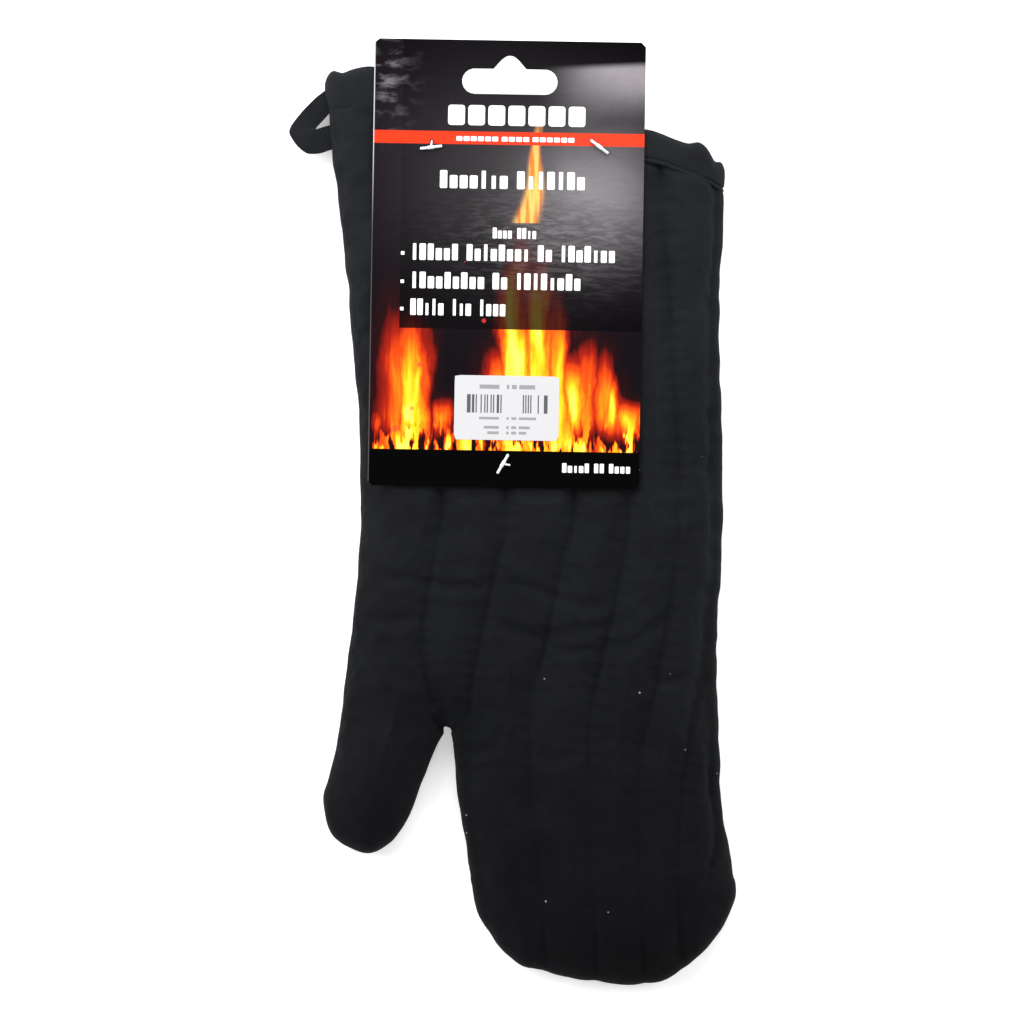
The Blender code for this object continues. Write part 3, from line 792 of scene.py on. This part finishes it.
def hem_point(front, u, depth, proud):
    """A place on the hem: u from side to side, depth below the edge, proud of the shell's own surface."""
    inset = -proud
    left = np.interp(LEFT_CORNER_Y - depth, LEFT_BRANCH[:, 1], LEFT_BRANCH[:, 0])
    left -= 1.5 * MM * float(1 - smoothstep(5 * MM, 13 * MM, depth))
    right = np.interp(RIGHT_CORNER_Y - depth, RIGHT_BRANCH[:, 1], RIGHT_BRANCH[:, 0])
    x = left + inset + (right - left - 2 * inset) * (u + 1) / 2
    away = min(x - left, right - x)
    z = float(form_height(front, away, inset))
    z = SEAM_Z + z if front else SEAM_Z - z
    even = float(smoothstep(3 * MM, 12 * MM, depth))
    level = float(np.interp(x, HEM_LEVEL[:, 0], HEM_LEVEL[:, 1]))
    y = float(cuff_y(x)) * (1 - even) + level * even - depth
    return Vector((x, y, max(z, 0.12 * MM)))


HEM_PROFILE = [(t * MM, o * MM) for t, o in (
    (14.2, -0.9), (14.1, -0.35), (13.7, 0.02), (13.0, 0.10), (12.7, -0.1), (12.3, -0.75), (11.9, -0.1),
    (11.3, 0.18), (10.0, 0.26), (8.0, 0.32), (6.0, 0.34), (4.2, 0.3), (2.8, 0.1), (1.7, -0.4), (0.9, -1.1),
    (0.3, -2.0), (0.0, -3.1), (0.3, -4.3), (0.9, -5.2), (1.8, -5.9), (3.0, -6.3), (5.5, -6.55), (9.0, -6.6),
    (12.0, -6.6), (13.2, -6.5), (13.4, -6.0),
)]


def make_hem():
    count = 150
    u_front = [math.sin(math.pi / 2 * (2 * i / count - 1)) for i in range(count + 1)]
    stations = [(True, u) for u in u_front] + [(False, u) for u in u_front[::-1][1:-1]]
    bm = bmesh.new()
    weave = bm.loops.layers.uv.new("weave")
    rings = [[bm.verts.new(hem_point(front, u, t, o)) for t, o in HEM_PROFILE] for front, u in stations]
    climb = [0.0]
    for (t0, o0), (t1, o1) in zip(HEM_PROFILE, HEM_PROFILE[1:]):
        climb.append(climb[-1] + math.hypot(t1 - t0, o1 - o0))
    weave_faces(bm, weave, rings + rings[:1], 8, climb)
    bmesh.ops.remove_doubles(bm, verts=bm.verts, dist=0.005 * MM)
    bmesh.ops.recalc_face_normals(bm, faces=bm.faces)
    hem = add_mesh("cuff_hem", bm)
    mesh = hem.data
    co, normal = coordinates(mesh), normals_of(mesh)
    low = 0.30 * MM * noise_field(co, 13 * MM, 21) + 0.20 * MM * noise_field(co, 5 * MM, 22, (1, 2.4, 1))
    co += normal * low[:, None]
    wander = 0.9 * MM * noise_field(co * (1, 0, 0.3), 12 * MM, 23)
    co[:, 1] += wander * smoothstep(145 * MM, 155 * MM, co[:, 1])
    co[:, 2] = np.clip(co[:, 2], 0.05 * MM, FABRIC_UNDER_CARD)
    place_points(mesh, co)
    smooth(hem)
    subdivided(hem, 1)
    cover(hem, cloth_material("black_hem_cotton", (0.0074, 0.0078, 0.0090), 0.58 * MM, lint=False))
    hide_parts("cuff_binding")
    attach(hem, "gauntlet")


# ---------------- hanging loop


TAPE_WIDTH = 11 * MM


def make_loop():
    """A flat tape turned back on itself at a soft corner, with both ends sewn into the side seam."""
    box_low, box_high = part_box("hanging_loop")
    middle_z = (box_low[2] + box_high[2]) / 2
    # The tape's outer and inner edges from above and its height, from under the hem round to the side seam.
    path = catmull(np.array((
        (-81.5, 190.4, -81.5, 178.6, -0.6), (-86.4, 185.9, -85.0, 176.0, -0.9),
        (-92.0, 181.6, -87.6, 173.2, -1.1), (-97.4, 175.9, -89.8, 170.8, -0.9),
        (-100.8, 171.6, -90.9, 169.7, -0.2), (-102.5, 167.6, -91.3, 169.0, 0.9),
        (-101.0, 164.4, -91.4, 168.9, 1.7), (-98.2, 161.0, -91.2, 168.8, 1.9),
        (-94.6, 158.5, -90.2, 169.1, 1.6), (-89.4, 158.6, -88.2, 169.8, 1.2),
        (-85.2, 160.0, -85.6, 170.5, 0.8), (-80.8, 161.0, -81.0, 171.6, 0.4),
    )) * MM, 4)
    across = 8
    bm = bmesh.new()
    weave = bm.loops.layers.uv.new("weave")
    grid = []
    for outer_x, outer_y, inner_x, inner_y, z in path:
        outer = Vector((outer_x, outer_y, middle_z + z))
        inner = Vector((inner_x, inner_y, middle_z + z * 0.6))
        line = []
        for j in range(across + 1):
            s = j / across
            cup = Vector((0, 0, 0.35 * MM * (1 - (2 * s - 1) ** 2)))
            line.append(bm.verts.new(outer.lerp(inner, s) + cup))
        grid.append(line)
    weave_faces(bm, weave, grid, 4, [j / across * TAPE_WIDTH for j in range(across + 1)])
    loop_piece = add_mesh("hanging_loop_tape", bm)
    thick = loop_piece.modifiers.new("thick", "SOLIDIFY")
    thick.thickness, thick.offset = 1.3 * MM, 0
    applied(loop_piece)
    bevel = loop_piece.modifiers.new("rolled", "BEVEL")
    bevel.width, bevel.segments = 0.35 * MM, 2
    bevel.limit_method, bevel.angle_limit = "ANGLE", math.radians(50)
    applied(loop_piece)
    smooth(loop_piece)
    subdivided(loop_piece, 1)
    mesh = loop_piece.data
    co = coordinates(mesh)
    co += normals_of(mesh) * (0.16 * MM * noise_field(co, 5 * MM, 41))[:, None]
    place_points(mesh, co)
    cover(loop_piece, cloth_material("loop_tape_weave", (0.0076, 0.0080, 0.0092), 0.55 * MM, lint=False))
    smooth(loop_piece)
    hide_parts("hanging_loop")
    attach(loop_piece, "loop")


# ---------------- card

CARD_TURN = math.radians(-0.95)
CARD_W, CARD_H = 115.0 * MM, 189.6 * MM
CARD_CENTRE = (Vector(CARD_BOX[0]) + Vector(CARD_BOX[1])) / 2
CARD_PLACE = Matrix.Translation(CARD_CENTRE) @ Matrix.Rotation(CARD_TURN, 4, "Z")
CARD_THICK = CARD_BOX[1][2] - CARD_BOX[0][2]
SLOT_Y = CARD_H / 2 - 17.5 * MM


def card_wave(x, y):
    """The card's slight waves and the bend above its slot, over card coordinates."""
    p = Vector((x, y, 0.0))
    wave = 0.22 * noise.noise(p / (34 * MM)) + 0.10 * noise.noise(p / (12 * MM) + Vector((7, 3, 1)))
    top = max(0.0, (y - 62 * MM) / (33 * MM))
    corner = max(0.0, abs(x) / (CARD_W / 2) - 0.55) ** 2
    return (wave + 0.28 + 0.9 * top * top * corner * 2.2 + 0.25 * corner) * MM


def arc(cx, cy, radius, first, last, count):
    angles = np.radians(np.linspace(first, last, count + 1))
    return np.stack((cx + radius * np.cos(angles), cy + radius * np.sin(angles)), axis=1)


def rounded_box(width, height, radius, count=5):
    x, y = width / 2 - radius, height / 2 - radius
    corners = ((x, y, 0), (-x, y, 90), (-x, -y, 180), (x, -y, 270))
    return np.vstack([arc(cx, cy, radius, a, a + 90, count) for cx, cy, a in corners])


def slot_loop():
    radius, half = 5.35 * MM, 20.25 * MM
    across = np.linspace(7.0 * MM, -7.0 * MM, 17)
    rise = 5.6 * MM * (0.5 + 0.5 * np.cos(across / (7.0 * MM) * math.pi)) ** 0.55
    bump = np.stack((across, SLOT_Y + radius + rise), axis=1)
    right = arc(half - radius, SLOT_Y, radius, -90, 82, 9)
    left = arc(radius - half, SLOT_Y, radius, 98, 270, 9)
    return np.vstack((right, bump, left))


def plate(name, loops, thickness, pitch, lift):
    """A thin plate with holes from closed outlines in card coordinates, following the card's waves."""
    outer = resampled(np.vstack((loops[0], loops[0][:1])), pitch)[:-1]
    points, edges = list(outer), [(i, (i + 1) % len(outer)) for i in range(len(outer))]
    for hole in loops[1:]:
        start = len(points)
        points += list(hole)
        edges += [(start + i, start + (i + 1) % len(hole)) for i in range(len(hole))]
    lattice = np.array([
        (x, y) for x in np.arange(outer[:, 0].min() + pitch / 2, outer[:, 0].max(), pitch)
        for y in np.arange(outer[:, 1].min() + pitch / 2, outer[:, 1].max(), pitch)
    ])
    for loop in loops:
        closed = np.vstack((loop, loop[:1]))
        lattice = lattice[nearest(lattice, closed)[0] > pitch * 0.45]
    points = np.vstack((points, lattice))
    made, _, faces, _, _, _ = delaunay_2d_cdt([Vector(p / MM) for p in points], edges, [], 1, 1e-4)
    bm = bmesh.new()
    uv_layer = bm.loops.layers.uv.new("print")
    verts = [bm.verts.new((p.x * MM, p.y * MM, 0)) for p in made]
    for f in faces:
        centre = np.array([sum((made[i] for i in f), Vector((0, 0))) / len(f) * MM])
        if any(inside(centre, hole)[0] for hole in loops[1:]):
            continue
        face = bm.faces.new([verts[i] for i in f])
        if face_turn(face) < 0:
            face.normal_flip()
    bmesh.ops.delete(bm, geom=[v for v in bm.verts if not v.link_faces], context="VERTS")
    for v in bm.verts:
        v.co.z = card_wave(v.co.x, v.co.y) + lift
    top = list(bm.faces)
    result = bmesh.ops.extrude_face_region(bm, geom=top)
    lowered = [g for g in result["geom"] if isinstance(g, bmesh.types.BMVert)]
    for v in lowered:
        v.co.z -= thickness
    bmesh.ops.recalc_face_normals(bm, faces=bm.faces)
    for face in bm.faces:
        face.material_index = 0 if face.normal.z > 0.5 else 1
        for loop in face.loops:
            loop[uv_layer].uv = (loop.vert.co.x / CARD_W + 0.5, loop.vert.co.y / CARD_H + 0.5)
    obj = add_mesh(name, bm)
    obj.data.transform(CARD_PLACE)
    return obj


def face_turn(face):
    a, b, c = (v.co for v in face.verts[:3])
    return (b - a).cross(c - a).z


def card_place(n):
    """The place on the card in millimetres from its middle, as two sockets."""
    uv = n.node("ShaderNodeUVMap", uv_map="print").outputs["UV"]
    split = n.node("ShaderNodeSeparateXYZ", {0: uv})
    sizes = (CARD_W / MM, CARD_H / MM)
    return [n.times(n.minus(split.outputs[k], 0.5), size) for k, size in enumerate(sizes)]


# The flames' tongues, in mm on the card: middle, half width, tip's height, length of the fade, and strength.
TONGUES = (
    (-46, 9, 2, 60, 0.58), (-39.5, 6.5, -6, 46, 0.92), (-40, 4, -40, 22, 1.04),
    (-27, 5, -52, 16, 0.70), (-17, 5.5, -60, 12, 0.90), (-4, 6.5, -26, 30, 0.76),
    (4.5, 6.5, 34, 60, 0.98), (14, 6.5, 30, 62, 0.92), (23, 6, 12, 60, 0.86),
    (30.5, 4.6, -30, 26, 0.98), (35, 4.6, -16, 40, 0.60), (42, 5, -24, 32, 0.60),
    (46.5, 5, -40, 20, 0.82), (53, 5.2, -52, 16, 1), (-54, 4, -58, 14, 0.72),
)
FOOT_Y = -79.1


def print_material():
    """The card's print: black with painted reflections and highlights of its gloss, a plain red band, flames
    below and a black foot, under gloss.
    """
    material = new_material("card_print_gloss")
    n = Nodes(material)
    x, y = card_place(n)
    place = n.node("ShaderNodeCombineXYZ", {0: x, 1: y}).outputs[0]

    def vector(sx, sy, dx=0.0, dy=0.0):
        return n.node("ShaderNodeCombineXYZ", {
            0: n.plus(n.times(x, sx), dx),
            1: n.plus(n.times(y, sy), dy),
        }).outputs[0]

    sway = n.minus(n.noise(vector(0.050, 0.022), 1.0, 2.0, 0.5), 0.5)
    lick = n.minus(n.noise(vector(0.15, 0.045, 3.1, 8.4), 1.0, 3.0, 0.55), 0.5)
    bent = n.plus(x, n.plus(n.times(sway, 16.0), n.times(lick, 8.0)))
    heat = None
    for centre, width, top, fade, power in TONGUES:
        off = n.over(n.minus(bent, centre), width)
        body = n.bell(off)
        tongue = n.times(body, n.ranged(y, top - fade, top, power, 0.0))
        heat = tongue if heat is None else n.math("MAXIMUM", heat, tongue)
    flicker = n.noise(vector(0.30, 0.030, 5.0, 2.0), 1.0, 3.0, 0.5, 0.3)
    heat = n.times(heat, n.linear(flicker, 0.28, 0.72, 0.74, 1.14))
    logs = n.noise(vector(0.22, 0.050, 1.0, 6.0), 1.0, 3.0, 0.55)
    low = n.ranged(y, -79.0, -62.0, 1.0, 0.0)
    char = n.times(low, n.ranged(logs, 0.42, 0.48, 1.0, 0.0))
    heat = n.times(heat, n.minus(1.0, n.times(char, 0.92)))
    ember = n.times(low, n.ranged(logs, 0.44, 0.60, 0.0, 1.0))
    heat = n.math("MAXIMUM", heat, ember)
    panel_low = n.ranged(y, -27.9, -27.6, 0.0, 1.0)
    panel_side = n.ranged(x, -45.4, -45.0, 0.0, 1.0)
    panel = n.times(panel_low, panel_side)
    fire = n.ramp(heat, (
        (0.0, (0.003, 0.002, 0.003)), (0.14, (0.016, 0.002, 0.002)), (0.30, (0.28, 0.010, 0.003)),
        (0.48, (0.80, 0.070, 0.004)), (0.66, (0.93, 0.27, 0.006)), (0.82, (0.95, 0.56, 0.015)),
        (1.0, (0.96, 0.82, 0.12)),
    ))
    dim = n.mix(1.0, fire, (0.055, 0.048, 0.060), "MULTIPLY")
    fire = n.mix(panel, fire, dim)

    curve = n.math("SINE", n.times(n.minus(y, 22.0), 0.17))
    middle = n.plus(n.linear(y, 17.0, 52.0, 8.4, 12.8), n.times(curve, 1.1))
    wisp_off = n.over(n.minus(x, middle), n.linear(y, 17.0, 52.0, 5.0, 1.7))
    wisp_off = n.times(wisp_off, wisp_off)
    wisp = n.bell(wisp_off)
    wisp = n.times(wisp, n.times(n.ranged(y, 17.3, 17.7), n.ranged(y, 42.0, 68.0, 1.0, 0.0)))
    thread = n.noise(vector(0.55, 0.05, 5.0, 2.0), 1.0, 2.0, 0.5, 0.3)
    gold = n.mix(n.ranged(thread, 0.4, 0.6), (0.80, 0.20, 0.035), (0.86, 0.50, 0.12))

    # Painted reflections of the glossy film, laid into the print's colour: a mottle for their strength, a
    # broad sheen at the upper right, highlights on crinkles, a streak right of the slot, glints at the upper
    # left and a faint wide lift in the middle.
    reflection_mottle = n.noise(vector(0.030, 0.040, 2.0, 1.0), 1.0, 4.0, 0.55, 0.4)

    def painted_highlight_spot(cx, cy, wide, tall, lean=0.0):
        dx = n.over(n.minus(n.plus(x, n.times(y, lean)), cx), wide)
        dy = n.over(n.minus(y, cy), tall)
        square = n.plus(n.times(dx, dx), n.times(dy, dy))
        return n.math("EXPONENT", n.times(square, -1.0))

    ripples = n.noise(vector(0.13, 0.62, 4.0, 4.0), 1.0, 4.0, 0.62, 0.5)
    sheen = n.times(painted_highlight_spot(37.0, 33.0, 27.0, 25.0), n.linear(reflection_mottle, 0.3, 0.7, 0.75, 1.15))
    crinkle_highlight = n.times(painted_highlight_spot(22.0, 12.0, 34.0, 18.0), n.ranged(ripples, 0.42, 0.64, 0.0, 1.0))
    upper = n.minus(y, n.times(n.minus(x, 18.0), 0.055))
    streak_highlight = n.times(
        n.ranged(upper, 57.0, 80.0), n.ranged(upper, 81.5, 85.0, 1.0, 0.0), n.ranged(x, 10.0, 44.0),
        n.linear(reflection_mottle, 0.3, 0.7, 0.8, 1.2),
    )
    glints = n.noise(vector(0.10, 0.24, 2.7, 6.1), 1.0, 4.0, 0.6, 0.4)
    glints = n.times(painted_highlight_spot(-52.0, 76.0, 9.0, 16.0), n.ranged(glints, 0.48, 0.72, 0.0, 1.0))
    painted_reflection = n.plus(
        n.times(sheen, 0.155), n.times(crinkle_highlight, 0.060), n.times(streak_highlight, 0.20), n.times(glints, 0.13),
        n.times(painted_highlight_spot(-10.0, 40.0, 40.0, 40.0), 0.022),
    )
    # The painted reflections are added over the flames and the black.
    ink = n.mix(1.0, fire, n.mix(painted_reflection, (0.0022, 0.0018, 0.0024), (1.0, 0.93, 0.99)), "ADD")
    ink = n.mix(n.times(wisp, 0.88), ink, gold)

    cell = n.node("ShaderNodeTexVoronoi", {"Vector": place, "Scale": 0.10, "Randomness": 1.0})
    chance = n.node("ShaderNodeSeparateColor", {0: cell.outputs["Color"]})
    dot_size = n.linear(chance.outputs[1], 0.0, 1.0, 0.03, 0.17)
    spark = n.ranged(n.over(cell.outputs["Distance"], dot_size), 0.6, 1.1, 1.0, 0.0)
    left_more = n.linear(x, -30.0, 10.0, 0.40, 0.03)
    chosen = n.math("LESS_THAN", chance.outputs[0], left_more)
    spark = n.times(spark, chosen, n.math("LESS_THAN", y, 48.0))
    ink = n.mix(n.times(spark, 0.62), ink, (0.66, 0.040, 0.035))

    band = n.times(n.ranged(y, 50.4, 50.6), n.ranged(y, 55.9, 56.1, 1.0, 0.0))
    # The red band is lightened by half of the painted reflection.
    band_ink = n.mix(n.times(painted_reflection, 0.5), (0.58, 0.036, 0.012), (0.90, 0.30, 0.25))
    ink = n.mix(band, ink, band_ink)
    ink = n.mix(n.ranged(y, FOOT_Y - 0.15, FOOT_Y + 0.15, 1.0, 0.0), ink, (0.0014, 0.0012, 0.0012))
    # Painted highlight: a pale line along the card's left edge, faint low down and full from 60 mm up.
    edge_highlight = n.times(n.ranged(x, -57.3, -56.9, 0.8, 0.0), n.ranged(y, 10.0, 60.0, 0.12, 1.0))
    ink = n.mix(edge_highlight, ink, (0.62, 0.60, 0.62))
    crinkle = n.noise(vector(0.10, 0.16, 4.0, 4.0), 1.0, 4.0, 0.6, 0.8)
    fine = n.noise(vector(0.9, 0.9), 1.0, 3.0, 0.55)
    height = n.plus(crinkle, n.times(fine, 0.06))
    n.set(Base_Color=ink, Roughness=0.25, Specular_IOR_Level=0.012, Coat_Weight=0.03, Coat_Roughness=0.08)
    n.set(Normal=n.bump(height, 0.9 * MM, 0.4))
    return material


def paper_edge_material():
    return plain_material("card_paper_edge", (0.42, 0.42, 0.42), 0.75)


def block(bm, x, y, width, height, lift):
    """A small plain rounded block of ink on the card, following its waves."""
    radius = min(width, height) * 0.16
    loop = rounded_box(width, height, radius, 2)
    verts = [bm.verts.new((px + x, py + y, card_wave(px + x, py + y) + lift)) for px, py in loop]
    bm.faces.new(verts)


def greeked_line(bm, generator, left, right, base, size, words, lift, caps):
    """A line of plain blocks, in groups, where the card has a line of print. It isn't lettering."""
    space = 0.36 * size * 1.1
    step = (right - left - space * (len(words) - 1)) / sum(words)
    x = left
    for blocks in words:
        for k in range(blocks):
            tall = not caps and (k == 0 or generator.random() < 0.28)
            height = size if tall else size * (0.84 if caps else 0.73)
            width = step * (0.84 if caps else generator.choice((0.78, 0.80, 0.74, 0.42)))
            block(bm, x + step / 2, base + height / 2, width, height, lift)
            x += step
        x += space


# Lines of blocks, in mm on the card: left, right, foot, height, how many blocks in each group, and whether
# all of them are equally tall.
INK_LINES = (
    (-26.6, 33, 58.6, 10.2, (7,), True),
    (-22.5, 28, 51.9, 2.4, (6, 4, 6), True),
    (-29.5, 33, 31.8, 7.6, (7, 7), False),
    (-6.4, 12.5, 10.8, 4.6, (4, 4), False),
    (-40.9, 46.2, 1.2, 7, (6, 8, 2, 7), False),
    (-40.9, 31.8, -10.8, 7, (9, 2, 8), False),
    (-40.9, 0, -22.2, 7, (5, 3, 4), False),
    (24.6, 54, -88, 4, (5, 2, 4), False),
)
# Each fastener's name, the turn of its bars in degrees, and where its hole is from its middle, in mm.
FASTENERS = (("left", 7, (0.3, 2.7)), ("right", -37, (-2.4, 1.8)), ("bottom", 60, (2.9, -0.5)))


def make_card():
    hole_spots = []
    for name, _, (dx, dy) in FASTENERS:
        low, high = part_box(f"tag_fastener_{name}")
        middle = ((low[0] + high[0]) / 2 + dx * MM, (low[1] + high[1]) / 2 + dy * MM, CARD_CENTRE.z)
        hole_spots.append(CARD_PLACE.inverted() @ Vector(middle))
    loops = [rounded_box(CARD_W, CARD_H, 2.0 * MM), slot_loop()]
    loops += [arc(p.x, p.y, 0.8 * MM, 0, 330, 11) for p in hole_spots]
    card = plate("header_card_print", loops, CARD_THICK, 3.0 * MM, CARD_THICK / 2)
    cover(card, print_material(), paper_edge_material())
    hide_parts("header_card")
    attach(card, "gauntlet")

    ink_bm = bmesh.new()
    generator = random.Random(5)
    lift = CARD_THICK / 2 + 0.03 * MM
    for left, right, base, size, words, caps in INK_LINES:
        span = (left * MM, right * MM, base * MM, size * MM)
        greeked_line(ink_bm, generator, *span, words, lift, caps)
    for y in (4.0, -8.0, -19.6):
        block(ink_bm, -44.2 * MM, y * MM, 1.5 * MM, 1.5 * MM, lift)
    bmesh.ops.recalc_face_normals(ink_bm, faces=ink_bm.faces)
    for face in ink_bm.faces:
        if face.normal.z < 0:
            face.normal_flip()
    ink = add_mesh("card_ink_blocks", ink_bm)
    ink.data.transform(CARD_PLACE)
    cover(ink, plain_material("white_ink", (0.86, 0.85, 0.85), 0.32, Coat_Weight=0.4, Coat_Roughness=0.1))
    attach(ink, "gauntlet")

    label_low, label_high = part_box("barcode_label")
    middle = CARD_PLACE.inverted() @ ((Vector(label_low) + Vector(label_high)) / 2)
    outline = rounded_box(44.3 * MM, 27.3 * MM, 0.8 * MM, 3) + np.array((middle.x, middle.y))
    label = plate("paper_label", [outline], 0.12 * MM, 2.5 * MM, CARD_THICK / 2 + 0.18 * MM)
    cover(label, label_material(middle), paper_edge_material())
    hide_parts("barcode_label")
    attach(label, "gauntlet")


def label_material(middle):
    """White paper with plain dark bars and faint grey rules."""
    material = new_material("label_paper_bars")
    n = Nodes(material)
    x, y = (n.minus(value, centre / MM) for value, centre in zip(card_place(n), middle))

    def within(value, low, high):
        return n.times(n.math("GREATER_THAN", value, low), n.math("LESS_THAN", value, high))

    def chance(slices):
        """A random value for each upright slice, with so many slices to the millimetre."""
        number = n.math("FLOOR", n.times(x, slices))
        return n.node("ShaderNodeTexWhiteNoise", {"W": number}, noise_dimensions="1D").outputs["Value"]

    sides = n.math("MAXIMUM", within(x, -17.0, -1.5), within(x, 6.0, 18.0))
    bars = n.times(n.math("GREATER_THAN", chance(1.9), 0.52), within(y, -2.2, 5.6), sides)
    rules = n.math("MAXIMUM", *(
        n.times(within(y, low, high), within(x, left, right)) for low, high, left, right in (
            (8.0, 9.8, -12.0, 12.0), (-5.0, -3.9, -12.0, 13.0), (-8.9, -7.7, -9.5, 10.0),
            (-11.2, -10.0, -8.0, 8.5),
        )
    ))
    rules = n.times(rules, n.math("GREATER_THAN", chance(0.95), 0.22))
    paper = n.mix(bars, (0.50, 0.50, 0.51), (0.07, 0.07, 0.08))
    paper = n.mix(n.times(rules, 0.75), paper, (0.16, 0.16, 0.17))
    n.set(Base_Color=paper, Roughness=0.42, Coat_Weight=0.1)
    return material


# ---------------- nylon fasteners


def rounded_bar(bm, start, end, radius, rings=4, sides=12):
    """A bar with round ends between two places."""
    along = (end - start).normalized()
    side = along.orthogonal().normalized()
    up = along.cross(side)
    turns = [math.pi / 2 * i / rings for i in range(rings + 1)]
    sections = [(start - along * radius * math.cos(a) * 0.8, radius * math.sin(a)) for a in turns]
    sections += [(end + along * radius * math.cos(a) * 0.8, radius * math.sin(a)) for a in turns[::-1]]
    loops = []
    for centre, r in sections:
        if r < 1e-7:
            loops.append([bm.verts.new(centre)])
        else:
            loops.append([
                bm.verts.new(centre + (side * math.cos(t) + up * math.sin(t)) * r)
                for t in (2 * math.pi * k / sides for k in range(sides))
            ])
    for a, b in zip(loops, loops[1:]):
        for k in range(sides):
            m = (k + 1) % sides
            if len(a) == 1:
                bm.faces.new((a[0], b[m], b[k]))
            elif len(b) == 1:
                bm.faces.new((a[k], a[m], b[0]))
            else:
                bm.faces.new((a[k], a[m], b[m], b[k]))


def make_fasteners():
    milky = (0.80, 0.80, 0.82)
    material = plain_material("milky_nylon", milky, 0.28, Coat_Weight=0.3, Subsurface_Weight=0.15)
    for name, turn, lead in FASTENERS:
        low, high = (Vector(c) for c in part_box(f"tag_fastener_{name}"))
        spot = (low + high) / 2
        way = Vector((math.cos(math.radians(turn)), math.sin(math.radians(turn)), 0))
        local = CARD_PLACE.inverted() @ spot
        lift = card_wave(local.x, local.y)
        top = Vector((spot.x, spot.y, high.z - 0.62 * MM + lift * 0.6))
        inner = Vector((spot.x, spot.y, low.z + 0.65 * MM))
        bm = bmesh.new()
        for middle in (top, inner):
            rounded_bar(bm, middle - way * 4.3 * MM, middle + way * 4.3 * MM, 0.62 * MM)
        # The filament leaves the bar's middle, lies along the card and turns down through its hole.
        hole = top + Vector((lead[0] * MM, lead[1] * MM, -0.1 * MM))
        below = Vector((hole.x, hole.y, inner.z))
        rounded_bar(bm, top, hole, 0.42 * MM, 3, 10)
        rounded_bar(bm, hole, below, 0.36 * MM, 3, 10)
        rounded_bar(bm, below, inner, 0.36 * MM, 3, 10)
        rounded_bar(bm, top - way * 1.1 * MM, top + way * 1.1 * MM, 0.85 * MM)
        bmesh.ops.recalc_face_normals(bm, faces=bm.faces)
        piece = add_mesh(f"nylon_fastener_{name}", bm)
        smooth(piece)
        cover(piece, material)
        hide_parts(f"tag_fastener_{name}")
        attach(piece, "gauntlet")


make_stage()
make_shells()
make_linings()
make_hem()
make_loop()
make_card()
make_fasteners()
